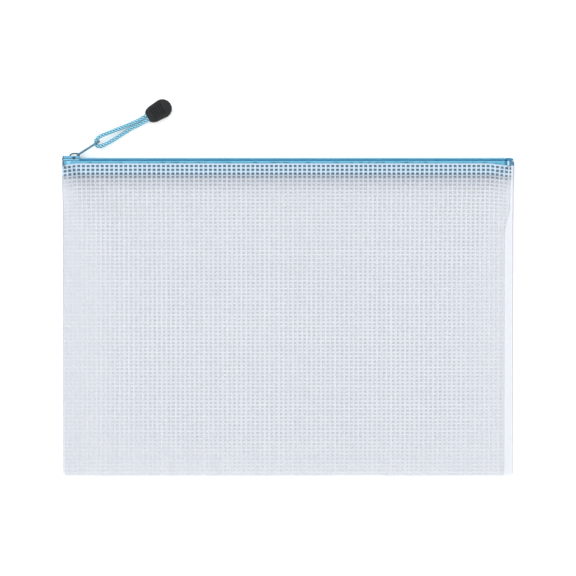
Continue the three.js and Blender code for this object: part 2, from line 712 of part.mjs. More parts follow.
function cordGeometry() {
  const points = CORD_ROUTE.map(([x, y, z]) => new THREE.Vector3(x, y, z));
  const path = new THREE.CatmullRomCurve3(points, false, "centripetal");
  return new THREE.ExtrudeGeometry(polygon(octagon(CORD_DIAMETER / 2)), {
    steps: CORD_STEPS,
    extrudePath: path,
  });
}

// Drawn from its mouth along +X, lying flat, with its middle at height 0.
function cordEndGeometry() {
  const radius = CORD_END_WIDTH / 2;
  const centre = CORD_END_LENGTH - radius;
  const neck = NECK_WIDTH / 2;
  const shoulder = CORD_END_SHOULDER / 2;
  const outline = new THREE.Shape();
  outline.moveTo(0, -neck);
  outline.lineTo(NECK_LENGTH - 0.8, -shoulder + NECK_STEP);
  outline.lineTo(NECK_LENGTH, -shoulder + NECK_STEP);
  outline.lineTo(NECK_LENGTH + 0.6, -shoulder);
  outline.lineTo(centre, -radius);
  outline.absarc(centre, 0, radius, -Math.PI / 2, Math.PI / 2, false);
  outline.lineTo(NECK_LENGTH + 0.6, shoulder);
  outline.lineTo(NECK_LENGTH, shoulder - NECK_STEP);
  outline.lineTo(NECK_LENGTH - 0.8, shoulder - NECK_STEP);
  outline.lineTo(0, neck);
  const depth = CORD_END_THICKNESS - 2 * CORD_END_EDGE;
  const moulded = new THREE.ExtrudeGeometry(outline, {
    depth,
    bevelThickness: CORD_END_EDGE,
    bevelSize: CORD_END_EDGE / 2,
    bevelOffset: -CORD_END_EDGE / 2,
    bevelSegments: 3,
    curveSegments: 8,
  });
  moulded.translate(0, 0, -depth / 2);
  let body = toSolid(moulded);
  const bore = CORD_DIAMETER / 2 + CORD_CLEARANCE;
  const slot = new THREE.Shape();
  slot.absarc(-STRAND_SPACING / 2, 0, bore, Math.PI / 2, 1.5 * Math.PI, false);
  slot.absarc(STRAND_SPACING / 2, 0, bore, -Math.PI / 2, Math.PI / 2, false);
  const socket = new THREE.ExtrudeGeometry(slot, {
    depth: SOCKET_DEPTH + 1,
    bevelEnabled: false,
    curveSegments: 6,
  });
  socket.rotateX(Math.PI / 2);
  socket.rotateZ(Math.PI / 2);
  socket.translate(-1, 0, 0);
  body = body.subtract(toSolid(socket));
  for (let n = 0; n < GRIP_GROOVES; n++) {
    const x = GROOVE_START + n * GROOVE_PITCH;
    for (const face of [-1, 1]) {
      const groove = new THREE.CylinderGeometry(GROOVE_WIDTH / 2, GROOVE_WIDTH / 2, GROOVE_LENGTH, 8);
      groove.scale(1, 1, (2 * GROOVE_DEPTH) / GROOVE_WIDTH);
      groove.translate(x, 0, (face * CORD_END_THICKNESS) / 2);
      body = body.subtract(toSolid(groove));
    }
  }
  return toGeometry(body);
}

// Materials and assembly

function material(color, roughness, metalness, opacity = 1) {
  return new THREE.MeshStandardMaterial({ color, roughness, metalness, opacity, transparent: opacity < 1 });
}

const mesh = material(0xdee5ee, 0.3, 0, 0.6);
const tape = material(0x5fb0d6, 0.25, 0, 0.8);
const nylon = material(0x4a93b8, 0.4, 0);
const polyester = material(0xe8eef4, 0.8, 0);
const paintedZinc = material(0x6bb0d1, 0.35, 0.3);
const steel = material(0x8da3ae, 0.3, 1);
const braid = material(0x8fd0e8, 0.8, 0);
const softPlastic = material(0x303030, 0.55, 0);

function named(name, geometry, finish) {
  const piece = new THREE.Mesh(geometry, finish);
  piece.name = name;
  return piece;
}

const bag = new THREE.Group();
bag.add(named("back_panel", panelGeometry(false), mesh));
bag.add(named("front_panel", panelGeometry(true), mesh));
bag.add(named("back_tape", tapeGeometry(false), tape));
bag.add(named("front_tape", tapeGeometry(true), tape));

const chain = new THREE.Group();
chain.position.z = zipMiddle;
for (const [side, sign] of [["front", 1], ["back", -1]]) {
  chain.add(named(side + "_coil", coilGeometry(sign), nylon));
  chain.add(named(side + "_filler_cord", fillerGeometry(sign), polyester));
  chain.add(named("top_stop_" + side, topStopGeometry(sign), nylon));
}
chain.add(named("bottom_stop", bottomStopGeometry(), nylon));
bag.add(chain);

const slider = new THREE.Group();
slider.position.set(noseX, chainTop, zipMiddle);
slider.add(named("slider_body", sliderBodyGeometry(), paintedZinc));
slider.add(named("slider_bail", bailGeometry(), steel));
bag.add(slider);

const pull = new THREE.Group();
pull.position.set(pullPivot.x, pullPivot.y, 0);
pull.rotation.z = radians(PULL_ANGLE);
pull.add(named("pull_loop", pullGeometry(), steel));
slider.add(pull);

bag.add(named("cord", cordGeometry(), braid));
const cordEnd = new THREE.Group();
cordEnd.position.set(...CORD_END_MOUTH, CORD_END_THICKNESS / 2);
cordEnd.rotation.z = radians(CORD_END_ANGLE);
cordEnd.add(named("cord_end", cordEndGeometry(), softPlastic));
bag.add(cordEnd);

export default bag;
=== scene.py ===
import math

import bpy
import numpy as np
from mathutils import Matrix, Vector


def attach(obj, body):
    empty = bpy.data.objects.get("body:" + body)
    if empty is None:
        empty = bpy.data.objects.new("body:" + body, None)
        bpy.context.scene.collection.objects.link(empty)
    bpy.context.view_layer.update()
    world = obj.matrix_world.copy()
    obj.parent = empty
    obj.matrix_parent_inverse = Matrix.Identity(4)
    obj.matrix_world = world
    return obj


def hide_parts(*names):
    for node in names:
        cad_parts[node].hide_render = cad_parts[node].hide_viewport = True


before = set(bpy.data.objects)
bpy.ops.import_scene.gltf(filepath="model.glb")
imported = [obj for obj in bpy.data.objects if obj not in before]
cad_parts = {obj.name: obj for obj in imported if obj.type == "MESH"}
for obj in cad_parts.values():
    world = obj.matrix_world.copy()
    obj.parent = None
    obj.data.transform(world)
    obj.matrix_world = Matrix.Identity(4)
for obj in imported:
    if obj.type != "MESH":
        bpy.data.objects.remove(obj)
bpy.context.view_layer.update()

MM = 0.001

# Sizes of the bag, in millimetres, as in the solids.
BAG_WIDTH = 338.6
BAG_HEIGHT = 238.5
SIDE_TAPER = 0.4
CORNER_RADIUS = 3
PANEL_THICKNESS = 0.4
PANEL_DROP = 3.85
WELD_WIDTH = 4.5
LAYER_GAP = 0.1
SWELL = 1.5
SWELL_RUN = 45
RIPPLE = 0.3
RIPPLE_LENGTH = 150
LEAN = 98
SIDE_FAN = 1.6
SIDE_FAN_MOST = 70
LEFT_END_SAG = 1.1
RIGHT_END_SAG = 1.9
LEFT_SAG_RUN = 13
RIGHT_SAG_RUN = 22
SAG_FADE = 60
EDGE_LIFT_RUN = 45
TAPE_THICKNESS = 0.5
FRONT_TAPE_DROP = 8.4
BACK_TAPE_DROP = 10.4
TAPE_SLOT = 2
FOLD_RADIUS = 1
LEFT_END_RUN = 1.1
RIGHT_END_RUN = 4.5
END_PINCH = 0.5
END_DROP = 0.3
CHAIN_WIDTH = 5.8
CHAIN_HEIGHT = 2.1
TOOTH_PITCH = 1.4
TOOTH_REACH = 0.5
ZIP_MIDDLE = 5
SPREAD_MOST = 1.3
BRIDGE_LENGTH = 3.4
MERGE_LENGTH = 4.8

# From the middle of the zip to the outer face of each tape's fold.
FOLD_HALF = 4.5
# The distance over which the side welds reach their width, and over which the layers close below the tapes.
PINCH_RUN = 8
# Along the zip: the slider's left end, and both ends of the rows.
NOSE_X = -168.65
ROW_START = -167.3
ROW_END = 163.25

CHAIN_TOP = BAG_HEIGHT / 2
CHAIN_BASE = CHAIN_TOP - CHAIN_HEIGHT
WEB_TOP = CHAIN_BASE - LAYER_GAP
PANEL_TOP = CHAIN_TOP - PANEL_DROP
BOTTOM = -BAG_HEIGHT / 2
PANEL_HEIGHT = PANEL_TOP - BOTTOM
SKIN = LAYER_GAP + PANEL_THICKNESS
PINCH_HALF = END_PINCH / 2 + TAPE_THICKNESS

# Light and shade painted on: a painted shadow along the seam across the slider, painted shade in the pit
# inside its crown, a painted highlight on the crease past the right end of the rows, and a painted highlight
# at the tape's left end.
SLIDER_SEAM_Y = 118.66
CROWN_PIT = (-160.1, 119.1)
END_CREASE_X = 164.6
LEFT_SHINE_X = -164

# Where the photograph shows the bag: the pixel of its middle, and the size of a pixel on it.
PHOTO_SIZE = 576
PHOTO_MIDDLE = (288.1, 317.25)
PIXEL_MM = 0.749
SENSOR = 36
LENS = 150
CLIP_END = 20


# Object helpers

def placed(name, data):
    """A new object in the scene."""
    made = bpy.data.objects.new(name, data)
    bpy.context.collection.objects.link(made)
    return made


def declared(piece, body, node=None):
    """A piece that rides on a body, and stands for a node if one is named."""
    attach(piece, body)
    if node:
        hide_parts(node)
    return piece


def smooth_mesh(name, points, faces):
    """A smooth mesh from points in millimetres."""
    mesh = bpy.data.meshes.new(name)
    mesh.from_pydata((np.asarray(points, float) * MM).tolist(), [], faces)
    mesh.polygons.foreach_set("use_smooth", [True] * len(mesh.polygons))
    return mesh


def mesh_piece(name, points, faces, material, slot, body="bag", node=None, attributes=None):
    """A piece from points in millimetres, with values on its points where attributes are given."""
    mesh = smooth_mesh(name, points, faces)
    for key, values in (attributes or {}).items():
        made = mesh.attributes.new(key, "FLOAT", "POINT")
        made.data.foreach_set("value", np.asarray(values, np.float32))
    mesh.materials.append(material)
    return declared(placed(name, mesh), body, node)


def evaluated(source):
    """The mesh that an object's modifiers make."""
    graph = bpy.context.evaluated_depsgraph_get()
    return bpy.data.meshes.new_from_object(source.evaluated_get(graph), depsgraph=graph)


# Camera

camera_data = bpy.data.cameras.new("camera")
camera_data.sensor_width = SENSOR
camera_data.lens = LENS
camera_data.clip_end = CLIP_END
camera = placed("camera", camera_data)
camera.location = (
    (PHOTO_SIZE / 2 - PHOTO_MIDDLE[0]) * PIXEL_MM * MM,
    (PHOTO_MIDDLE[1] - PHOTO_SIZE / 2) * PIXEL_MM * MM,
    (PHOTO_SIZE * PIXEL_MM / SENSOR * LENS + ZIP_MIDDLE) * MM,
)
bpy.context.scene.camera = camera
bpy.context.scene.view_settings.view_transform = "Standard"


# Geometry helpers

def grid_faces(columns, rows, first=0, flip=False):
    """Quads over a grid of points kept column by column, facing +Z where rows run to +Y."""
    faces = []
    for i in range(columns - 1):
        for j in range(rows - 1):
            a = first + i * rows + j
            quad = (a, a + rows, a + rows + 1, a + 1)
            faces.append(quad[::-1] if flip else quad)
    return faces


def shell(front, back):
    """Points and faces of a closed sheet between two grids of points of the same shape."""
    columns, rows = front.shape[:2]
    count = columns * rows
    points = np.concatenate([front.reshape(-1, 3), back.reshape(-1, 3)])
    faces = grid_faces(columns, rows) + grid_faces(columns, rows, count, flip=True)
    rim = [i * rows for i in range(columns)]
    rim += [(columns - 1) * rows + j for j in range(1, rows)]
    rim += [i * rows + rows - 1 for i in range(columns - 2, -1, -1)]
    rim += list(range(rows - 2, 0, -1))
    for a, b in zip(rim, rim[1:] + rim[:1]):
        faces.append((count + a, count + b, b, a))
    return points, faces


def unit_rows(values):
    """Rows of length 1 along the given ones."""
    return values / np.linalg.norm(values, axis=1)[:, None]


def frames_along(path):
    """Two unit vectors across a path at each of its points, turning as little as they can."""
    along = unit_rows(np.gradient(path, axis=0))
    side = np.cross(along[0], (0, 0, 1))
    side /= np.linalg.norm(side)
    found = [side]
    for t in along[1:]:
        side = side - t * np.dot(side, t)
        side = side / np.linalg.norm(side)
        found.append(side)
    across = np.array(found)
    return across, np.cross(across, along)


def tube(path, section, across, up, inward=False):
    """Points and faces of a closed tube. section is (across, up) pairs, alike or one list per point."""
    if section.ndim == 2:
        section = section[None]
    points = path[:, None] + section[:, :, 0, None] * across[:, None] + section[:, :, 1, None] * up[:, None]
    rings, count = points.shape[:2]
    faces = []
    for i in range(rings - 1):
        for k in range(count):
            a, b = i * count + k, i * count + (k + 1) % count
            faces.append((a, b, b + count, a + count) if inward else (a, a + count, b + count, b))
    first, last = tuple(range(count)), tuple(range((rings - 1) * count, rings * count))
    faces += [first[::-1], last] if inward else [first, last[::-1]]
    return points.reshape(-1, 3), faces


def swept(path, section):
    """A tube along a path, turning as little as it can."""
    return tube(path, section, *frames_along(path))


def ring(width, height, count):
    """The points of an ellipse, as (across, up) pairs."""
    angles = 2 * np.pi * (np.arange(count) + 0.5) / count
    return np.stack([width / 2 * np.cos(angles), height / 2 * np.sin(angles)], 1)


def joined(parts):
    """Points and faces of several bodies as one mesh."""
    points, faces, first = [], [], 0
    for more, quads in parts:
        points.append(more)
        faces += [tuple(first + k for k in quad) for quad in quads]
        first += len(more)
    return np.concatenate(points), faces


# Node helpers

def fill(tree, node, inputs):
    """A node with its inputs set or linked."""
    for key, value in inputs.items():
        if isinstance(value, bpy.types.NodeSocket):
            tree.links.new(value, node.inputs[key])
        else:
            node.inputs[key].default_value = value
    return node


def add(tree, kind, inputs=None, **settings):
    """A node with its settings, values and links."""
    made = tree.nodes.new(kind)
    for key, value in settings.items():
        setattr(made, key, value)
    return fill(tree, made, inputs or {})


def maths(tree, operation, *values):
    return add(tree, "ShaderNodeMath", dict(enumerate(values)), operation=operation).outputs[0]


def vectors(tree, operation, first, second):
    """Vector maths on two vectors, or for SCALE on a vector and a number."""
    key = "Scale" if operation == "SCALE" else 1
    return add(tree, "ShaderNodeVectorMath", {0: first, key: second}, operation=operation).outputs[0]


def split(tree, vector):
    """The X, Y and Z of a vector."""
    return add(tree, "ShaderNodeSeparateXYZ", {0: vector}).outputs


def combined(tree, x=0.0, y=0.0, z=0.0):
    """A vector of three values."""
    return add(tree, "ShaderNodeCombineXYZ", {0: x, 1: y, 2: z}).outputs[0]


def distance_to(tree, value, target):
    return maths(tree, "ABSOLUTE", maths(tree, "SUBTRACT", value, target))


def step_at(tree, value, start, end, low=0.0, high=1.0):
    """From low at start to high at end, easing at both."""
    return add(tree, "ShaderNodeMapRange", {
        "Value": value, "From Min": start, "From Max": end, "To Min": low, "To Max": high,
    }, interpolation_type="SMOOTHSTEP").outputs[0]


def spread_values(tree, factor, low, high):
    """From low at 0 to high at 1."""
    return add(tree, "ShaderNodeMapRange", {"Value": factor, "To Min": low, "To Max": high}).outputs[0]


# Materials

def linear(colour):
    """A linear colour from an sRGB hex one."""
    parts = [int(colour[k : k + 2], 16) / 255 for k in (1, 3, 5)]
    return tuple(p / 12.92 if p <= 0.04045 else ((p + 0.055) / 1.055) ** 2.4 for p in parts) + (1,)


def new_material(name):
    """A material, its node tree and its shader."""
    material = bpy.data.materials.new(name)
    material.use_nodes = True
    tree = material.node_tree
    tree.nodes.clear()
    shader = add(tree, "ShaderNodeBsdfPrincipled")
    add(tree, "ShaderNodeOutputMaterial", {"Surface": shader.outputs[0]})
    return material, tree, shader


def object_noise(tree, size_mm, detail=2.0, stretch=(1, 1, 1)):
    """Noise whose spots are about size_mm wide, from 0 to 1."""
    place = add(tree, "ShaderNodeTexCoord").outputs["Object"]
    scaled = add(tree, "ShaderNodeMapping", {"Vector": place, "Scale": stretch}).outputs[0]
    found = add(tree, "ShaderNodeTexNoise", {"Vector": scaled, "Scale": 1 / MM / size_mm, "Detail": detail})
    return found.outputs["Fac"]


def object_place(tree):
    """The X and Y of a point in millimetres, in the object's own frame."""
    apart = split(tree, add(tree, "ShaderNodeTexCoord").outputs["Object"])
    return [maths(tree, "MULTIPLY", apart[k], 1 / MM) for k in (0, 1)]


def attribute(tree, name):
    return add(tree, "ShaderNodeAttribute", attribute_name=name).outputs["Fac"]


def mixed(tree, factor, low, high):
    """A colour from low at 0 to high at 1. Each is an sRGB hex one or a socket."""
    blend = add(tree, "ShaderNodeMix", {"Factor": factor}, data_type="RGBA")
    for key, value in (("A", low), ("B", high)):
        socket = next(s for s in blend.inputs if s.name == key and s.type == "RGBA")
        if isinstance(value, str):
            socket.default_value = linear(value)
        else:
            tree.links.new(value, socket)
    return next(s for s in blend.outputs if s.type == "RGBA")


def bump(tree, height, depth_mm, strength):
    """A normal turned by relief of a depth."""
    inputs = {"Height": height, "Distance": depth_mm * MM, "Strength": strength}
    return add(tree, "ShaderNodeBump", inputs).outputs[0]


def film_material(name, colour, near, alpha):
    """Clear soft vinyl film: a cool haze, with painted shade making it darker and bluer near the tape,
    glossy, slowly rippled by its lamination.
    """
    material, tree, shader = new_material(name)
    # Painted shade under the zip's raised edge: the film turns darker and bluer towards the tape.
    shade_reach = 24
    near_tape = step_at(tree, object_place(tree)[1], PANEL_TOP - shade_reach, PANEL_TOP - BACK_TAPE_DROP)
    fine = maths(tree, "MULTIPLY", object_noise(tree, 3.1, 1), 0.06)
    fill(tree, shader, {
        "Base Color": mixed(tree, near_tape, colour, near),
        "Alpha": alpha,
        "Roughness": 0.16,
        "Specular IOR Level": 0.5,
        "Normal": bump(tree, maths(tree, "ADD", object_noise(tree, 28, 1), fine), 0.6, 0.7),
    })
    return material


def yarn_material():
    """White polyester multifilament under clear film: bright, uneven from yarn to yarn, glossy, with painted
    blue light from the tape near it.
    """
    material, tree, shader = new_material("yarn")
    tone = maths(tree, "MULTIPLY", attribute(tree, "tone"), 0.5)
    shade = maths(tree, "MULTIPLY_ADD", object_noise(tree, 9), 0.5, tone)
    plain = mixed(tree, shade, "#E8EAEF", "#F8F9FB")
    # Painted blue light from the tape: the yarns turn light blue near it.
    start, end = PANEL_TOP - BACK_TAPE_DROP - 1, PANEL_TOP - FRONT_TAPE_DROP + 1
    near_tape = step_at(tree, object_place(tree)[1], start, end)
    fill(tree, shader, {
        "Base Color": mixed(tree, near_tape, plain, "#CAE4F5"),
        "Alpha": 0.68,
        "Roughness": 0.45,
        "Coat Weight": 0.35,
        "Coat Roughness": 0.2,
    })
    return material


def weld_material():
    """The welded margin: two films melted together, whiter than the panel, partly from its pressed film and
    partly as a painted highlight off its gloss, with a grey cut edge.
    """
    material, tree, shader = new_material("weld")
    out = maths(tree, "ABSOLUTE", object_place(tree)[0])
    cut = step_at(tree, out, BAG_WIDTH / 2 - 1, BAG_WIDTH / 2 - 0.7)
    # Whiter than the panel: partly its pressed film, partly a painted highlight.
    fill(tree, shader, {
        "Base Color": mixed(tree, cut, "#E9ECF2", "#A9AEBA"),
        "Alpha": 0.6,
        "Roughness": 0.18,
        "Normal": bump(tree, object_noise(tree, 5), 0.3, 0.6),
    })
    return material


def tape_material():
    """Translucent blue vinyl zip tape: glossy, streaked along its length, darker and greyer in its weld in
    painted shade, with painted highlights and shade on its open part.
    """
    material, tree, shader = new_material("tape")
    x, y = object_place(tree)
    clouds = object_noise(tree, 11, 1)
    streaks = object_noise(tree, 7, stretch=(0.12, 1, 1))
    shade = maths(tree, "MULTIPLY_ADD", streaks, 0.6, maths(tree, "MULTIPLY", clouds, 0.4))

    # The open part: its low marks, painted highlights on its fold, near its left end and on the crease past
    # the rows, and painted shade at both its ends.
    marks = step_at(tree, object_noise(tree, 4.5, stretch=(1, 2.5, 1)), 0.5, 0.62)
    marks = maths(tree, "MULTIPLY", marks, step_at(tree, y, PANEL_TOP + 1.3, PANEL_TOP + 0.5))
    open_part = mixed(tree, shade, "#3A93B8", "#6BBBDA")
    for factor, colour in (
        (marks, "#2A7898"),
        # Painted highlight along the tape's fold.
        (step_at(tree, y, PANEL_TOP + 0.9, PANEL_TOP + 1.4), "#6ABADC"),
        # Painted highlight at the tape's left end.
        (step_at(tree, distance_to(tree, x, LEFT_SHINE_X), 2.0, 1.0), "#84C8E6"),
        # Painted shade on the tape's folded right end, past the rows.
        (step_at(tree, x, ROW_END - 2, ROW_END - 0.8), "#2C7094"),
        # Painted highlight on the crease past the right end of the rows.
        (step_at(tree, distance_to(tree, x, END_CREASE_X), 0.9, 0.5), "#A6DDF6"),
        # Painted shade on the tape's blunt left end.
        (step_at(tree, x, NOSE_X + 1.5, NOSE_X + 0.8), "#2C5A70"),
    ):
        open_part = mixed(tree, factor, open_part, colour)

    # The welded part, in painted shade from the film and yarns over it, paler where only the back tape lies
    # below the front one.
    lowest = PANEL_TOP - FRONT_TAPE_DROP
    welded_shade = mixed(tree, shade, "#2E485E", "#486886")
    welded_shade = mixed(tree, step_at(tree, y, lowest + 0.2, lowest - 0.2), welded_shade, "#73869A")
    fill(tree, shader, {
        "Base Color": mixed(tree, attribute(tree, "welded"), open_part, welded_shade),
        "Alpha": 0.78,
        "Roughness": 0.2,
        "Coat Weight": 0.5,
        "Coat Roughness": 0.1,
        "Normal": bump(tree, clouds, 0.5, 0.6),
    })
    return material


def nylon_material(name, dark, light, top_colour):
    """Dyed nylon monofilament: slightly glossy, its dye a little uneven, and another colour towards the top
    of the chain.
    """
    material, tree, shader = new_material(name)
    dyed = mixed(tree, object_noise(tree, 3), dark, light)
    # The colour changes towards the top of the chain.
    toward_top = step_at(tree, object_place(tree)[1], CHAIN_TOP - 1.5, CHAIN_TOP - 0.2)
    fill(tree, shader, {
        "Base Color": mixed(tree, toward_top, dyed, top_colour),
        "Roughness": 0.4,
        "Specular IOR Level": 0.25,
    })
    return material


def thread_material(name, dark, light):
    """Spun polyester thread: matt, with fine fibres along it."""
    material, tree, shader = new_material(name)
    fibres = object_noise(tree, 0.5, 3)
    fill(tree, shader, {
        "Base Color": mixed(tree, fibres, dark, light),
        "Roughness": 0.8,
        "Sheen Weight": 0.15,
        "Normal": bump(tree, fibres, 0.05, 0.5),
    })
    return material


def paint_material():
    """The slider: a zinc casting in glossy light blue enamel, with orange peel and rubbing, a painted shadow
    along its seam, painted shade at its nose and in the pit by its crown, and painted light on its lower
    rim.
    """
    material, tree, shader = new_material("slider_enamel")
    x, y = object_place(tree)
    rubbed = object_noise(tree, 2.2, 3)
    off_pit = maths(tree, "ADD", distance_to(tree, x, CROWN_PIT[0]), distance_to(tree, y, CROWN_PIT[1]))
    enamel = mixed(tree, rubbed, "#488CAC", "#62A4C2")
    for factor, colour in (
        # Painted shadow along the seam between the top plate and the flange.
        (step_at(tree, distance_to(tree, y, SLIDER_SEAM_Y), 0.5, 0.15), "#2B6B8C"),
        # Painted shade on the slider's nose.
        (step_at(tree, x, NOSE_X + 1.5, NOSE_X + 0.7), "#1F4A5E"),
        # Painted shade in the pit by the crown.
        (step_at(tree, off_pit, 1.8, 1.1), "#062635"),
        # Painted light on the lower rim, lifting its shade.
        (step_at(tree, y, SLIDER_SEAM_Y - 0.75, SLIDER_SEAM_Y - 1.1), "#A6DFF4"),
    ):
        enamel = mixed(tree, factor, enamel, colour)
    fill(tree, shader, {
        "Base Color": enamel,
        "Roughness": spread_values(tree, rubbed, 0.2, 0.42),
        "Coat Weight": 0.5,
        "Coat Roughness": 0.12,
        "Normal": bump(tree, object_noise(tree, 0.6, 1), 0.02, 0.4),
    })
    return material


def steel_material(name, dark, light):
    """Nickel plated steel wire and strip: grey-blue metal with drawing marks and small dull spots."""
    material, tree, shader = new_material(name)
    drawn = object_noise(tree, 1.4, 3)
    fill(tree, shader, {
        "Base Color": mixed(tree, drawn, dark, light),
        "Metallic": 0.65,
        "Specular IOR Level": 0.3,
        "Roughness": spread_values(tree, drawn, 0.22, 0.45),
        "Normal": bump(tree, object_noise(tree, 0.3), 0.01, 0.3),
    })
    return material


def braid_material():
    """The braided cord: light blue polyester carriers with dark teal ones among them, matt and fibrous."""
    material, tree, shader = new_material("braid")
    fibres = object_noise(tree, 0.35)
    light_yarn = mixed(tree, fibres, "#6CBEDA", "#A6E2F5")
    dark_yarn = mixed(tree, fibres, "#06303F", "#15536B")
    fill(tree, shader, {
        "Base Color": mixed(tree, attribute(tree, "dark"), light_yarn, dark_yarn),
        "Roughness": 0.7,
        "Sheen Weight": 0.25,
        "Normal": bump(tree, fibres, 0.06, 0.6),
    })
    return material


def rubber_material():
    """The cord end: black moulded soft plastic, satin, with a fine grain and paler rubbed spots."""
    material, tree, shader = new_material("black_moulding")
    rubbed = object_noise(tree, 4, 3)
    fill(tree, shader, {
        "Base Color": mixed(tree, rubbed, "#0B0C0D", "#1E1F21"),
        "Specular IOR Level": 0.25,
        "Roughness": spread_values(tree, rubbed, 0.42, 0.62),
        "Normal": bump(tree, object_noise(tree, 0.35), 0.03, 0.5),
    })
    return material


def floor_material():
    """Plain pale studio surface, faintly lit from below."""
    material, tree, shader = new_material("floor")
    fill(tree, shader, {
        "Base Color": (0.98, 0.98, 0.98, 1),
        "Roughness": 0.9,
        "Emission Color": (1, 1, 1, 1),
        "Emission Strength": 0.13,
    })
    return material


# Each film's second colour is the painted shade near the tape.
FILM = film_material("film", "#ACB3BE", "#7D8CA2", 0.28)
BONDED_FILM = film_material("film_over_tape", "#C8D4E4", "#C8D4E4", 0.05)
YARN = yarn_material()
WELD = weld_material()
TAPE = tape_material()
COIL = nylon_material("coil_nylon", "#0878A8", "#1C9CCB", "#9CD2E3")
STOP = nylon_material("stop_nylon", "#24668B", "#3F89AE", "#2F7496")
STITCH = thread_material("stitch_thread", "#2F90BC", "#5DB4DA")
FILLER = thread_material("filler_thread", "#166C95", "#2E8AB2")
ENAMEL = paint_material()
STEEL = steel_material("plated_steel", "#3F6272", "#6C93A3")
# A darker copy of the plated steel: painted shade on the thin crown.
SHADED_CROWN_STEEL = steel_material("shaded_crown_steel", "#24434F", "#42697A")
BRAID = braid_material()
RUBBER = rubber_material()


# The bag's layers

def ease(t):
    """From 0 at 0 to 1 at 1, easing at both."""
    c = np.clip(t, 0, 1)
    return c * c * (3 - 2 * c)


def mix(a, b, t):
    return a + (b - a) * t


def half_width(y):
    """Half the bag's width at a distance up it, with its tapered sides and rounded corners."""
    tapered = BAG_WIDTH / 2 - SIDE_TAPER * np.clip((PANEL_TOP - y) / PANEL_HEIGHT, 0, 1)
    up = np.clip(y - BOTTOM, 0, CORNER_RADIUS)
    return tapered - CORNER_RADIUS + np.sqrt(CORNER_RADIUS**2 - (CORNER_RADIUS - up) ** 2)


def freedom(side, inset, drop):
    """0 where the panels are pinched together at a side, and 1 where they are free."""
    run = np.where(side < 0, LEFT_END_RUN, RIGHT_END_RUN)
    weld = WELD_WIDTH * np.clip(drop / PINCH_RUN, 0, 1)
    fan = np.minimum(SIDE_FAN * np.maximum(0, drop), SIDE_FAN_MOST)
    return ease((inset - weld) / (run + fan))


def pinched(drop):
    """Middle and half thickness of all layers where they are pinched."""
    flat = PANEL_THICKNESS + LAYER_GAP / 2
    middle = mix(ZIP_MIDDLE, flat, ease(drop / EDGE_LIFT_RUN))
    half = mix(PINCH_HALF + SKIN, flat, ease((drop - BACK_TAPE_DROP) / PINCH_RUN))
    return middle, half


def front_height(side, inset, y):
    """The outer face of the front panel: high at the zip, leaning down, then waved over the free middle."""
    x = side * (half_width(y) - inset)
    flat = 2 * PANEL_THICKNESS + LAYER_GAP
    drop = PANEL_TOP - y
    top = ZIP_MIDDLE + FOLD_HALF + SKIN
    risen = ease((y - BOTTOM - WELD_WIDTH) / SWELL_RUN)
    wave = np.sin(2 * np.pi * x / RIPPLE_LENGTH) * np.cos(2 * np.pi * y / RIPPLE_LENGTH)
    lean = ease(drop / LEAN)
    free = flat + (top - flat) * (1 - lean) + (SWELL + RIPPLE * wave) * risen * lean
    middle, half = pinched(drop)
    return mix(middle + half, free, freedom(side, inset, drop))


def back_height(side, inset, y):
    """The outer face of the back panel, flat on the floor where it is free."""
    drop = PANEL_TOP - y
    middle, half = pinched(drop)
    return mix(middle - half, 0, freedom(side, inset, drop))


def sagged(side, inset, y):
    """Distance up the bag once the ends of the top edge sag."""
    most = np.where(side < 0, LEFT_END_SAG, RIGHT_END_SAG)
    run = np.where(side < 0, LEFT_SAG_RUN, RIGHT_SAG_RUN)
    return y - most * (1 - ease(inset / run)) * (1 - ease((PANEL_TOP - y) / SAG_FADE))


def stations(stops, end):
    """The stops, then even steps up to the end."""
    last = stops[-1]
    count = max(1, round((end - last) / GRID_STEP))
    return np.concatenate([stops, np.linspace(last, end, count + 1)[1:]])


GRID_STEP = 2.2
side_insets = stations([0, 0.5, 1.1, 1.8, 2.7, 3.6, 4.5, 5.1, 6, 7.5, 9], BAG_WIDTH / 2)
insets = np.concatenate([side_insets, side_insets[-2::-1]])[:, None]
sides = np.repeat([-1, 1], [len(side_insets), len(side_insets) - 1])[:, None]


def layer(heights, y):
    """Points of a surface over all columns and the given distances up the bag."""
    y = y[None, :]
    x = sides * (half_width(y) - insets * (half_width(y) / (BAG_WIDTH / 2)))
    true_insets = half_width(y) - np.abs(x)
    z = heights(sides + 0 * y, true_insets, y + 0 * x)
    return np.stack([x, sagged(sides, true_insets, y), z], 2)


film_rows = BOTTOM + stations([0, 0.3, 0.8, 1.5, 2.2, 3, 4.5, 5.1, 7], PANEL_HEIGHT - BACK_TAPE_DROP)
film_rows = np.concatenate([film_rows, PANEL_TOP - np.array([FRONT_TAPE_DROP, 7, 5, 3.5, 2, 1, 0])])

# How far each film lies inside its solid's outer face, and the slack in picking its rows.
FILM_INSET = 0.05
ROW_SLACK = 0.1


def film_piece(side, heights, raised, tape_drop):
    """The film of one panel, clearer where it is bonded to its tape."""
    grid = layer(lambda s, e, y: heights(s, e, y) + raised, film_rows)
    faces = grid_faces(*grid.shape[:2])
    piece = mesh_piece(f"{side}_film", grid.reshape(-1, 3), faces, FILM, "mesh", node=f"{side}_panel")
    piece.data.materials.append(BONDED_FILM)
    bonded = film_rows[:-1] > PANEL_TOP - tape_drop - ROW_SLACK
    piece.data.polygons.foreach_set("material_index", np.tile(bonded, len(grid) - 1).astype(np.int32))
    return piece


# A known fault: both films face +Z, so the back one's faces point into the bag. The yarns are seated along
# the films' normals, and move if a film is turned.
front_film = film_piece("front", front_height, -FILM_INSET, FRONT_TAPE_DROP)
back_film = film_piece("back", back_height, FILM_INSET, BACK_TAPE_DROP)


# Welds

WELD_SHARES = np.linspace(0, 1, 7)
WELD_SHIFT = 0.02
WELD_WIDENS_AT = 30
WELD_WIDENS_OVER = 25


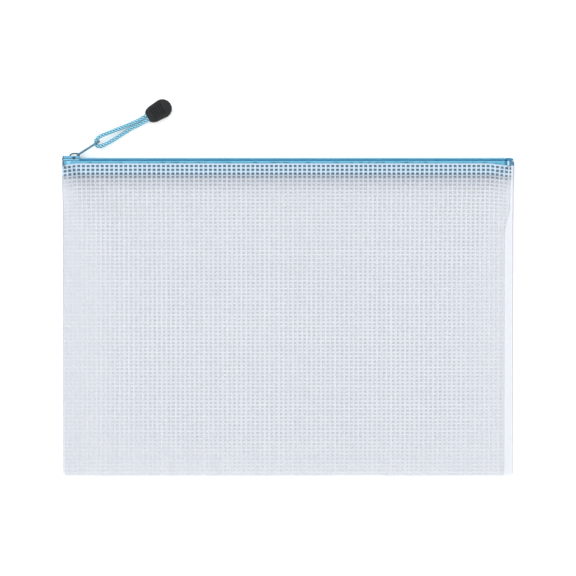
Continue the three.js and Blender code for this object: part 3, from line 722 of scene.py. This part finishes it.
def weld_rows(name, side, narrow, wide, drop):
    """The pressed margin of one side on the front film, from a drop down, narrow at first and wide below."""
    y = film_rows[None, film_rows < PANEL_TOP - drop + ROW_SLACK]
    reach = narrow + (wide - narrow) * ease((PANEL_TOP - y - WELD_WIDENS_AT) / WELD_WIDENS_OVER)
    shares = WELD_SHARES if side < 0 else WELD_SHARES[::-1]
    inset = WELD_SHIFT + reach * shares[:, None]
    x = side * (half_width(y) - inset)
    z = front_height(side + 0 * inset, inset, y + 0 * inset) + WELD_SHIFT
    grid = np.stack([x, sagged(side + 0 * inset, inset, y), z], 2)
    return mesh_piece(name, grid.reshape(-1, 3), grid_faces(*grid.shape[:2]), WELD, "mesh")


welds = [
    weld_rows("left_weld", -1, narrow=0.9, wide=0.9, drop=FRONT_TAPE_DROP),
    weld_rows("right_weld", 1, narrow=2.4, wide=6.6, drop=0),
]


# Geometry node helpers

def tree_with(name, inputs):
    """A geometry node tree with named inputs, and its input node's sockets."""
    tree = bpy.data.node_groups.new(name, "GeometryNodeTree")
    for key, kind in inputs.items():
        tree.interface.new_socket(name=key, in_out="INPUT", socket_type="NodeSocket" + kind)
    tree.interface.new_socket(name="Geometry", in_out="OUTPUT", socket_type="NodeSocketGeometry")
    return tree, tree.nodes.new("NodeGroupInput").outputs


def finish_tree(tree, geometry, material):
    whole = add(tree, "GeometryNodeRealizeInstances", {"Geometry": geometry}).outputs[0]
    shaded = add(tree, "GeometryNodeSetMaterial", {"Geometry": whole, "Material": material}).outputs[0]
    add(tree, "NodeGroupOutput", {"Geometry": shaded})


def stored(tree, geometry, name, value, kind="FLOAT"):
    """Geometry with a value kept on its points."""
    return add(tree, "GeometryNodeStoreNamedAttribute", {
        "Geometry": geometry, "Name": name, "Value": value,
    }, data_type=kind, domain="POINT").outputs[0]


def recalled(tree, name, kind="FLOAT"):
    return add(tree, "GeometryNodeInputNamedAttribute", {"Name": name}, data_type=kind).outputs[0]


def grown(name, tree, values, node=None):
    """A plain mesh piece from a geometry node tree."""
    seed = placed(name + "_seed", bpy.data.meshes.new(name + "_seed"))
    modifier = seed.modifiers.new("grow", "NODES")
    modifier.node_group = tree
    keys = {item.name: item.identifier for item in tree.interface.items_tree if item.in_out == "INPUT"}
    for key, value in values.items():
        modifier[keys[key]] = value
    seed.update_tag()
    mesh = evaluated(seed)
    bpy.data.objects.remove(seed)
    mesh.name = name
    return declared(placed(name, mesh), "bag", node)


# Yarns

FRONT_WARPS = 97
FRONT_WARP_PITCH = 3.515
BACK_WARPS = 99
BACK_WARP_PITCH = 3.484
BACK_TURN = 0.0015
BACK_SHIFT = 0.3
BACK_DRIFT = 2.1
FRONT_WEFTS = 83
BACK_WEFTS = 85
WEFT_PITCH = 2.8155
FIRST_WEFT_DROP = 0.98
WARP_WIDTH = 1.35
WEFT_WIDTH = 1.15
YARN_CROWN = 0.12
YARN_WAVE = 0.04
YARN_DEPTH = 0.18

# In metres: the height from which yarns are dropped on a film, the longest drop, and the least edge length.
DROP_FROM = 0.05
DROP_MOST = 0.2
EDGE_LEAST = 1e-6
# Added to a yarn's number to keep it positive, and how often the drift changes in a metre.
FIRST_NUMBER = 500
DRIFT_SCALE = 9.0


def yarn_tree():
    """Flat yarns side by side, laid on a film and woven over and under the crossing ones."""
    tree, given = tree_with("woven_yarns", {
        "Geometry": "Geometry", "Film": "Object", "Yarns": "Int", "Pitch": "Float", "Crossings": "Int",
        "Crossing Pitch": "Float", "Turn": "Float", "Middle": "Vector", "Width": "Float", "Crown": "Float",
        "Depth": "Float", "Wave": "Float", "Drift": "Float", "Seed": "Int", "Material": "Material",
    })

    # One line of points for each yarn, from a grid without the edges across it.
    grid = add(tree, "GeometryNodeMeshGrid", {
        "Size X": maths(tree, "MULTIPLY", maths(tree, "SUBTRACT", given["Yarns"], 1), given["Pitch"]),
        "Size Y": maths(tree, "MULTIPLY", given["Crossings"], given["Crossing Pitch"]),
        "Vertices X": given["Yarns"],
        "Vertices Y": maths(tree, "MULTIPLY_ADD", given["Crossings"], 2, 1),
    }).outputs["Mesh"]
    ends = add(tree, "GeometryNodeInputMeshEdgeVertices").outputs
    edge = split(tree, vectors(tree, "SUBTRACT", ends["Position 1"], ends["Position 2"]))
    lines = add(tree, "GeometryNodeDeleteGeometry", {
        "Geometry": grid,
        "Selection": maths(tree, "GREATER_THAN", maths(tree, "ABSOLUTE", edge[0]), EDGE_LEAST),
    }, domain="EDGE", mode="EDGE_FACE").outputs[0]

    # The tone of each yarn, and its rise and fall over the crossing ones.
    place = add(tree, "GeometryNodeInputPosition").outputs[0]
    flat = split(tree, place)
    number = maths(tree, "DIVIDE", flat[0], given["Pitch"])
    crossed = maths(tree, "DIVIDE", flat[1], given["Crossing Pitch"])
    beats = [maths(tree, "COSINE", maths(tree, "MULTIPLY", value, math.pi)) for value in (number, crossed)]
    lift = maths(tree, "MULTIPLY", maths(tree, "MULTIPLY", *beats), given["Wave"])
    tone = add(tree, "FunctionNodeRandomValue", {
        "ID": maths(tree, "ROUND", maths(tree, "ADD", number, FIRST_NUMBER)), "Seed": given["Seed"],
    }, data_type="FLOAT").outputs[1]
    lines = stored(tree, stored(tree, lines, "tone", tone), "lift", lift)

    # Turned, moved and drifted, then drawn in with the sides and let down with the sagging ends.
    turned = add(tree, "ShaderNodeVectorRotate", {
        "Vector": place, "Angle": given["Turn"],
    }, rotation_type="Z_AXIS").outputs[0]
    moved = vectors(tree, "ADD", turned, given["Middle"])
    drift = add(tree, "ShaderNodeTexNoise", {
        "Vector": moved, "Scale": DRIFT_SCALE, "Detail": 1.0,
    }).outputs["Color"]
    centred = vectors(tree, "SUBTRACT", drift, (0.5, 0.5, 0.5))
    at = split(tree, vectors(tree, "ADD", moved, vectors(tree, "SCALE", centred, given["Drift"])))
    drop = maths(tree, "SUBTRACT", PANEL_TOP * MM, at[1])
    drawn_in = maths(tree, "MULTIPLY_ADD", drop, -SIDE_TAPER / (BAG_WIDTH / 2) / (PANEL_HEIGHT * MM), 1)
    x = maths(tree, "MULTIPLY", at[0], drawn_in)
    sags = [
        step_at(tree, maths(tree, operation, BAG_WIDTH / 2 * MM, x), 0.0, run * MM, most * MM, 0.0)
        for operation, run, most in (
            ("ADD", LEFT_SAG_RUN, LEFT_END_SAG), ("SUBTRACT", RIGHT_SAG_RUN, RIGHT_END_SAG),
        )
    ]
    fade = step_at(tree, drop, 0.0, SAG_FADE * MM, 1.0, 0.0)
    sag = maths(tree, "MULTIPLY", maths(tree, "ADD", *sags), fade)
    laid = combined(tree, x, maths(tree, "SUBTRACT", at[1], sag), DROP_FROM)
    spread_out = add(tree, "GeometryNodeSetPosition", {"Geometry": lines, "Position": laid}).outputs[0]

    # Dropped on the film, and seated at a depth along its normal.
    film = add(tree, "GeometryNodeObjectInfo", {
        "Object": given["Film"],
    }, transform_space="RELATIVE").outputs
    fall = add(tree, "GeometryNodeRaycast", {
        "Target Geometry": film["Geometry"],
        "Source Position": add(tree, "GeometryNodeInputPosition").outputs[0],
        "Ray Direction": (0, 0, -1),
        "Ray Length": DROP_MOST,
    }).outputs
    kept = add(tree, "GeometryNodeDeleteGeometry", {
        "Geometry": spread_out, "Selection": maths(tree, "SUBTRACT", 1, fall["Is Hit"]),
    }, domain="POINT").outputs[0]
    depth = maths(tree, "ADD", recalled(tree, "lift"), given["Depth"])
    outward = vectors(tree, "SCALE", fall["Hit Normal"], depth)
    seated = add(tree, "GeometryNodeSetPosition", {
        "Geometry": stored(tree, kept, "lean", fall["Hit Normal"], "FLOAT_VECTOR"),
        "Position": vectors(tree, "ADD", fall["Hit Position"], outward),
    }).outputs[0]

    # A crowned strip along each line, upright on the film.
    # A known fault: its faces point to -Z on both panels, so the front one's point into the bag.
    curves = add(tree, "GeometryNodeMeshToCurve", {"Mesh": seated}).outputs[0]
    along = add(tree, "GeometryNodeInputTangent").outputs[0]
    lean = recalled(tree, "lean", "FLOAT_VECTOR")
    upright = add(tree, "GeometryNodeSetCurveNormal", {
        "Curve": curves, "Normal": vectors(tree, "CROSS_PRODUCT", along, lean),
    }, mode="FREE").outputs[0]
    arc = add(tree, "GeometryNodeCurveArc", {
        "Resolution": 5, "Radius": 1.0, "Start Angle": 0.0, "Sweep Angle": math.pi,
    }, mode="RADIUS").outputs["Curve"]
    scale = combined(tree, maths(tree, "MULTIPLY", given["Width"], 0.5), given["Crown"], 1.0)
    section = add(tree, "GeometryNodeTransform", {"Geometry": arc, "Scale": scale}).outputs[0]
    body = add(tree, "GeometryNodeCurveToMesh", {"Curve": upright, "Profile Curve": section}).outputs[0]
    smooth = add(tree, "GeometryNodeSetShadeSmooth", {"Geometry": body}).outputs[0]
    finish_tree(tree, smooth, given["Material"])
    return tree


woven = yarn_tree()


def weave(side, film, depth, warps, wefts, warp_pitch, turn, middle, drift, seed):
    """The warp and the weft yarns of one panel, on the inner side of its film."""
    pieces = []
    for name, count, pitch, crossings, crossing_pitch, angle, width, wave in (
        ("warps", warps, warp_pitch, wefts, WEFT_PITCH, turn, WARP_WIDTH, YARN_WAVE),
        ("wefts", wefts, WEFT_PITCH, warps, warp_pitch, turn + math.pi / 2, WEFT_WIDTH, -YARN_WAVE),
    ):
        pieces.append(grown(f"{side}_{name}", woven, {
            "Film": film,
            "Yarns": count,
            "Pitch": pitch * MM,
            "Crossings": crossings + 1,
            "Crossing Pitch": crossing_pitch * MM,
            "Turn": angle,
            "Middle": (middle[0] * MM, middle[1] * MM, 0),
            "Width": width * MM,
            "Crown": math.copysign(YARN_CROWN, -depth) * MM,
            "Depth": depth * MM,
            "Wave": wave * MM,
            "Drift": drift * MM,
            "Seed": seed,
            "Material": YARN,
        }))
    return pieces


weft_middle = PANEL_TOP - FIRST_WEFT_DROP - WEFT_PITCH * (FRONT_WEFTS - 1) / 2
front_yarns = weave(
    "front", front_film, -YARN_DEPTH, FRONT_WARPS, FRONT_WEFTS, FRONT_WARP_PITCH,
    turn=0.0, middle=(0, weft_middle), drift=0.0, seed=3,
)
back_yarns = weave(
    "back", back_film, YARN_DEPTH, BACK_WARPS, BACK_WEFTS, BACK_WARP_PITCH,
    turn=BACK_TURN, middle=(BACK_SHIFT, weft_middle), drift=BACK_DRIFT, seed=5,
)


# Tapes

TAPE_CLEARANCE = 0.12


def tape_piece(side, sign, heights, lowest):
    """A tape inside its panel, over the fold, and under its coil."""
    y = PANEL_TOP - np.concatenate([np.linspace(lowest, 0.5, 8), [0]])
    grids = []
    for inward in (0, TAPE_THICKNESS):
        inside = layer(lambda s, e, v: heights(s, e, v) - sign * (SKIN + TAPE_CLEARANCE + inward), y)
        x = inside[:, -1, 0]
        open_share = freedom(sides[:, 0], half_width(np.array([PANEL_TOP])) - np.abs(x), 0.0)
        top = WEB_TOP - END_DROP * (1 - open_share)
        half = mix(PINCH_HALF, FOLD_HALF, open_share)
        radius = mix(PINCH_HALF - LAYER_GAP, FOLD_RADIUS, open_share)
        bend = radius - inward
        folded = []
        for angle in np.radians(np.linspace(0, 90, 9)):
            out = half - radius + bend * np.cos(angle)
            folded.append(np.stack([x, top - radius + bend * np.sin(angle), ZIP_MIDDLE + sign * out], 1))
        slot_half = mix(LAYER_GAP / 2, TAPE_SLOT / 2, open_share)
        folded.append(np.stack([x, top - inward, ZIP_MIDDLE + sign * slot_half], 1))
        grids.append(np.concatenate([inside, np.stack(folded, 1)], 1))
    welded = np.zeros(grids[0].shape[:2])
    welded[:, : len(y) - 1] = 1
    mesh_piece(
        f"{side}_zip_tape", *shell(*grids[::sign]), TAPE, "tape", node=f"{side}_tape",
        attributes={"welded": np.tile(welded.reshape(-1), 2)},
    )


tape_piece("front", 1, front_height, FRONT_TAPE_DROP)
tape_piece("back", -1, back_height, BACK_TAPE_DROP)


# Coils

FILAMENT = 0.6
# The powers that make a turn's outline squarer than an ellipse, across the row and upwards.
SQUARE_ACROSS = 0.5
SQUARE_UP = 0.6
# Shares of a turn: the part at each end that runs on to the next turn, and the head, which is flattened.
RUN_ON = 0.18
HEAD_START = 0.3
HEAD_END = 0.7
HEAD_EASE = 0.2
HEAD_SWELL = 0.16

THREAD = 0.24
STITCH_LINES = {"inner": 1.75, "outer": 2.4}
STITCH_LAP = 1.05
STITCH_SINK = 0.28
STITCH_BOW = 0.3
STITCH_SKEW = 0.05

TURNS = int((ROW_END - ROW_START) / TOOTH_PITCH)
COIL_JITTER = 0.012
STITCH_JITTER = 0.02


def coil_turn(sign):
    """One turn of the wound filament, from the spine round the head and back, one pitch on."""
    angles = np.linspace(0, 2 * np.pi, 25)
    reach, foot = TOOTH_REACH - FILAMENT / 2, CHAIN_WIDTH / 2 - FILAMENT / 2
    deep, high = (foot + reach) / 2, CHAIN_HEIGHT / 2 - FILAMENT / 2
    cosine, sine = np.cos(angles), np.sin(angles)
    out = (foot - reach) / 2 + deep * np.sign(cosine) * np.abs(cosine) ** SQUARE_ACROSS
    up = high * np.sign(sine) * np.abs(sine) ** SQUARE_UP
    share = angles / (2 * np.pi)
    x = TOOTH_PITCH * 0.5 * (ease((share - (1 - RUN_ON)) / RUN_ON) - ease((RUN_ON - share) / RUN_ON))
    path = np.stack([x, CHAIN_BASE + CHAIN_HEIGHT / 2 + up, sign * out], 1)
    head = ease((share - HEAD_START) / HEAD_EASE) * ease((HEAD_END - share) / HEAD_EASE)
    return swept(path, np.stack([ring(FILAMENT * s, FILAMENT / s, 7) for s in 1 + HEAD_SWELL * head]))


def stitch(sign, half):
    """One stitch over the spine: a short loop of thread from one needle hole to the next."""
    t = np.linspace(0, 1, 9)
    path = np.stack([
        TOOTH_PITCH * (t - 0.5) * STITCH_LAP,
        CHAIN_TOP - STITCH_SINK + STITCH_BOW * np.sin(np.pi * t),
        sign * (half + STITCH_SKEW * np.sin(2 * np.pi * t)),
    ], 1)
    return swept(path, ring(THREAD, THREAD, 6))


def row_tree():
    """Copies of one element along a row of the zip, parted where the slider's bridge stands."""
    tree, given = tree_with("zip_row", {
        "Geometry": "Geometry", "Element": "Object", "Count": "Int", "Pitch": "Float", "Start": "Vector",
        "Parting": "Float", "Bridge End": "Float", "Merge": "Float", "Jitter": "Float", "Seed": "Int",
        "Material": "Material",
    })
    line = add(tree, "GeometryNodeMeshLine", {
        "Count": given["Count"], "Start Location": given["Start"], "Offset": combined(tree, given["Pitch"]),
    }, mode="OFFSET").outputs[0]
    x = split(tree, add(tree, "GeometryNodeInputPosition").outputs[0])[0]
    merged = maths(tree, "ADD", given["Bridge End"], given["Merge"])
    parted = step_at(tree, x, given["Bridge End"], merged, given["Parting"], 0.0)
    shaken = add(tree, "FunctionNodeRandomValue", {
        "Min": (-1, -1, -1), "Max": (1, 1, 1), "Seed": given["Seed"],
    }, data_type="FLOAT_VECTOR").outputs[0]
    shake = vectors(tree, "SCALE", shaken, given["Jitter"])
    placed_points = add(tree, "GeometryNodeSetPosition", {
        "Geometry": line, "Offset": vectors(tree, "ADD", combined(tree, z=parted), shake),
    }).outputs[0]
    element = add(tree, "GeometryNodeObjectInfo", {"Object": given["Element"]}).outputs["Geometry"]
    copies = add(tree, "GeometryNodeInstanceOnPoints", {
        "Points": placed_points, "Instance": element,
    }).outputs[0]
    finish_tree(tree, copies, given["Material"])
    return tree


rows = row_tree()


def zip_row(name, shape, sign, material, jitter, seed, node=None):
    """A row of copies of one shape, those of the back half a pitch along."""
    element = placed(name + "_element", smooth_mesh(name + "_element", *shape))
    start = ROW_START + TOOTH_PITCH * (0.5 if sign > 0 else 1.0)
    grown(name, rows, {
        "Element": element,
        "Count": TURNS,
        "Pitch": TOOTH_PITCH * MM,
        "Start": (start * MM, 0, ZIP_MIDDLE * MM),
        "Parting": sign * SPREAD_MOST * MM,
        "Bridge End": (NOSE_X + BRIDGE_LENGTH) * MM,
        "Merge": MERGE_LENGTH * MM,
        "Jitter": jitter * MM,
        "Seed": seed,
        "Material": material,
    }, node)
    bpy.data.objects.remove(element)


for side, sign, seed in (("front", 1, 11), ("back", -1, 12)):
    zip_row(f"{side}_winding", coil_turn(sign), sign, COIL, COIL_JITTER, seed, f"{side}_coil")
    for line, half in STITCH_LINES.items():
        zip_row(f"{side}_stitches_{line}", stitch(sign, half), sign, STITCH, STITCH_JITTER, seed)


# Filler cords

FILLER_POINTS = 826
FILLER_OUT = 2.2
FILLER_UP = 0.45
PLIES = 3
PLY_TWIST = 3
PLY_WIDTH = 0.4
PLY_OFFSET = 0.17


def filler_piece(side, sign):
    """A filler cord of three twisted plies in the middle of a coil's spine, parted as the rows are."""
    x = np.linspace(ROW_START, ROW_END, FILLER_POINTS)
    parted = SPREAD_MOST * (1 - ease((x - NOSE_X - BRIDGE_LENGTH) / MERGE_LENGTH))
    plies = []
    for ply in range(PLIES):
        turn = 2 * np.pi * (x / PLY_TWIST + ply / PLIES)
        path = np.stack([
            x,
            CHAIN_BASE + FILLER_UP + PLY_OFFSET * np.sin(turn),
            ZIP_MIDDLE + sign * (FILLER_OUT + parted) + PLY_OFFSET * np.cos(turn),
        ], 1)
        plies.append(swept(path, ring(PLY_WIDTH, PLY_WIDTH, 6)))
    mesh_piece(f"{side}_filler_plies", *joined(plies), FILLER, "filler", node=f"{side}_filler_cord")


filler_piece("front", 1)
filler_piece("back", -1)


# Cast and moulded pieces

def softened(name, node, voxel_mm, passes, material, body, swell_mm=0.0):
    """A node's shape with its edges rounded as a mould or a die leaves them."""
    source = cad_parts[node]
    piece = placed(name, source.data.copy())
    piece.data.transform(source.matrix_world)
    remesh = piece.modifiers.new("remesh", "REMESH")
    remesh.mode = "VOXEL"
    remesh.voxel_size = voxel_mm * MM
    remesh.use_smooth_shade = True
    smooth = piece.modifiers.new("smooth", "SMOOTH")
    smooth.iterations = passes
    smooth.factor = 0.5
    swell = piece.modifiers.new("swell", "DISPLACE")
    swell.mid_level = 0
    swell.strength = swell_mm * MM
    mesh = evaluated(piece)
    piece.modifiers.clear()
    piece.data = mesh
    mesh.materials.clear()
    mesh.materials.append(material)
    mesh.polygons.foreach_set("use_smooth", [True] * len(mesh.polygons))
    declared(piece, body, node)


softened("slider_casting", "slider_body", 0.09, 4, ENAMEL, "slider")
softened("slider_crown", "slider_bail", 0.05, 4, SHADED_CROWN_STEEL, "slider", 0.2)
softened("cord_moulding", "cord_end", 0.14, 5, RUBBER, "cord_tag")
softened("front_top_stop", "top_stop_front", 0.06, 4, STOP, "bag")
softened("back_top_stop", "top_stop_back", 0.06, 4, STOP, "bag")
softened("end_stop", "bottom_stop", 0.07, 4, STOP, "bag")


# Pull

WIRE_DIAMETER = 1.3
PULL_LENGTH = 19.2
PULL_WIDTH = 5.2
PULL_CORNER = 1.3
PULL_ANGLE = 32.4
PULL_PIVOT = (-157.65, 121.55)
PULL_STEP = 1.5
# The gap where the wire's ends butt, as a share of its first step.
BUTT_GAP = 0.02


def pull_piece():
    """A loop of round wire with its ends butted in the middle of one long side."""
    far, half = PULL_LENGTH - PULL_CORNER, PULL_WIDTH / 2
    corners = []
    for x, z, start in (
        (far, half - PULL_CORNER, 0), (PULL_CORNER, half - PULL_CORNER, 90),
        (PULL_CORNER, PULL_CORNER - half, 180), (far, PULL_CORNER - half, 270),
    ):
        for angle in np.radians(np.linspace(start, start + 90, 9)):
            corners.append((x + PULL_CORNER * np.cos(angle), z + PULL_CORNER * np.sin(angle)))
    corners = np.array(corners)
    dense = []
    for a, b in zip(corners, np.roll(corners, -1, 0)):
        steps = max(1, int(np.linalg.norm(b - a) / PULL_STEP))
        dense += [a + (b - a) * k / steps for k in range(steps)]
    along, aside = np.array(dense).T
    turn = math.radians(PULL_ANGLE)
    path = np.stack([
        PULL_PIVOT[0] + along * math.cos(turn),
        PULL_PIVOT[1] + along * math.sin(turn),
        ZIP_MIDDLE + aside,
    ], 1)
    first = int(np.argmin(np.where(aside > 0, np.inf, np.abs(along - PULL_LENGTH / 2))))
    path = np.roll(path, -first, 0)
    path = np.concatenate([path, path[:1] - (path[1:2] - path[:1]) * BUTT_GAP])
    wire = swept(path, ring(WIRE_DIAMETER, WIRE_DIAMETER, 14))
    mesh_piece("pull_wire", *wire, STEEL, "steel", "pull", "pull_loop")


pull_piece()


# Cord

CORD_DIAMETER = 2.8
CORE_DIAMETER = 1.9
CORD_STEP = 0.2
CARRIERS = 6
BRAID_PITCH = 7
# The width and thickness of a carrier, how deep its middle lies, and how far it weaves in and out.
DARK_CARRIER = (1.75, 0.7)
LIGHT_CARRIER = (1.3, 0.5)
CARRIER_DEPTH = 0.25
CARRIER_WAVE = 0.13
CORD_ROUTE = [
    (-96.66, 156.8, 3.25), (-101.4, 154.01, 3.25), (-106.14, 151.22, 3.25), (-108.65, 149.65, 3.1),
    (-112.9, 147.25, 2.5), (-117.5, 145.35, 2), (-123.5, 142.8, 1.9), (-129.7, 140.3, 2.5),
    (-135.9, 137.7, 3.6), (-140.9, 135.4, 4.6), (-143.6, 132.9, 5), (-144.1, 130.5, 5),
    (-143, 128.6, 5), (-140.6, 128.1, 4.9), (-137.9, 129.1, 4.4), (-134.4, 131, 3.3),
    (-129.7, 133.9, 2.2), (-123.5, 137.9, 1.6), (-117.4, 141.75, 1.55), (-112.7, 143.9, 1.9),
    (-106.95, 147.1, 3), (-104.46, 148.38, 3.25), (-99.72, 151.17, 3.25), (-94.98, 153.96, 3.25),
]


def smooth_route(route, step):
    """Points evenly spaced along a centripetal curve through the route, and its length."""
    knots = np.array(route, float)
    knots = np.concatenate([[2 * knots[0] - knots[1]], knots, [2 * knots[-1] - knots[-2]]])
    found = []
    for k in range(1, len(knots) - 2):
        p0, p1, p2, p3 = knots[k - 1 : k + 3]
        t1 = np.linalg.norm(p1 - p0) ** 0.5
        t2 = t1 + np.linalg.norm(p2 - p1) ** 0.5
        t3 = t2 + np.linalg.norm(p3 - p2) ** 0.5
        for t in np.linspace(t1, t2, 24, endpoint=False):
            a1 = p0 * (t1 - t) / t1 + p1 * t / t1
            a2 = p1 * (t2 - t) / (t2 - t1) + p2 * (t - t1) / (t2 - t1)
            a3 = p2 * (t3 - t) / (t3 - t2) + p3 * (t - t2) / (t3 - t2)
            b1 = a1 * (t2 - t) / t2 + a2 * t / t2
            b2 = a2 * (t3 - t) / (t3 - t1) + a3 * (t - t1) / (t3 - t1)
            found.append(b1 * (t2 - t) / (t2 - t1) + b2 * (t - t1) / (t2 - t1))
    found = np.array([*found, knots[-2]])
    reach = np.concatenate([[0], np.cumsum(np.linalg.norm(np.diff(found, axis=0), axis=1))])
    count = round(reach[-1] / step)
    even = np.linspace(0, reach[-1], count + 1)
    return np.stack([np.interp(even, reach, found[:, k]) for k in range(3)], 1), reach[-1]


def cord_piece():
    """A tubular braid of flat carriers over a core, its dark carriers showing as flecks."""
    path, length = smooth_route(CORD_ROUTE, CORD_STEP)
    across, up = frames_along(path)
    s = np.linspace(0, length, len(path))
    parts = [swept(path, ring(CORE_DIAMETER, CORE_DIAMETER, 8))]
    dark = [np.zeros(len(parts[0][0]))]
    for direction in (1, -1):
        for carrier in range(CARRIERS):
            angle = direction * 2 * np.pi * s / BRAID_PITCH + 2 * np.pi * (carrier + 0.5) / CARRIERS
            over = direction * np.cos(2 * np.pi * s * CARRIERS / BRAID_PITCH)
            radius = CORD_DIAMETER / 2 - CARRIER_DEPTH + CARRIER_WAVE * over
            outward = np.cos(angle)[:, None] * across + np.sin(angle)[:, None] * up
            line = path + radius[:, None] * outward
            flat = unit_rows(np.cross(unit_rows(np.gradient(line, axis=0)), outward))
            is_dark = direction > 0 and carrier % 2 == 0
            section = ring(*(DARK_CARRIER if is_dark else LIGHT_CARRIER), 4)
            # A known fault: the carriers' faces point inwards. Without inward=True they point outwards.
            parts.append(tube(line, section, flat, outward, inward=True))
            dark.append(np.full(len(line) * 4, float(is_dark)))
    piece = mesh_piece(
        "braided_cord", *joined(parts), BRAID, "cord", "cord_tag", "cord",
        attributes={"dark": np.concatenate(dark)},
    )


cord_piece()


# Floor and light, in metres

FLOOR_HALF = 3
FLOOR_Z = -0.0002
SKY_STRENGTH = 1.05


def floor_piece():
    mesh = bpy.data.meshes.new("floor")
    signs = ((-1, -1), (1, -1), (1, 1), (-1, 1))
    mesh.from_pydata([(x * FLOOR_HALF, y * FLOOR_HALF, FLOOR_Z) for x, y in signs], [], [(0, 1, 2, 3)])
    mesh.materials.append(floor_material())
    placed("floor", mesh)


def area_light(name, place, size, power):
    """A square softbox that points at the middle of the bag."""
    light = bpy.data.lights.new(name, "AREA")
    light.shape = "SQUARE"
    light.size = size
    light.energy = power
    lamp = placed(name, light)
    lamp.location = place
    lamp.rotation_mode = "QUATERNION"
    lamp.rotation_quaternion = (-Vector(place)).to_track_quat("-Z", "Y")


floor_piece()
area_light("key_softbox", (-0.9, 1.0, 1.5), size=1.2, power=16)
area_light("fill_softbox", (1.2, -0.6, 1.3), size=1.4, power=9)
world = bpy.data.worlds.new("studio")
world.use_nodes = True
sky = world.node_tree.nodes["Background"]
fill(world.node_tree, sky, {"Color": (1, 1, 1, 1), "Strength": SKY_STRENGTH})
bpy.context.scene.world = world
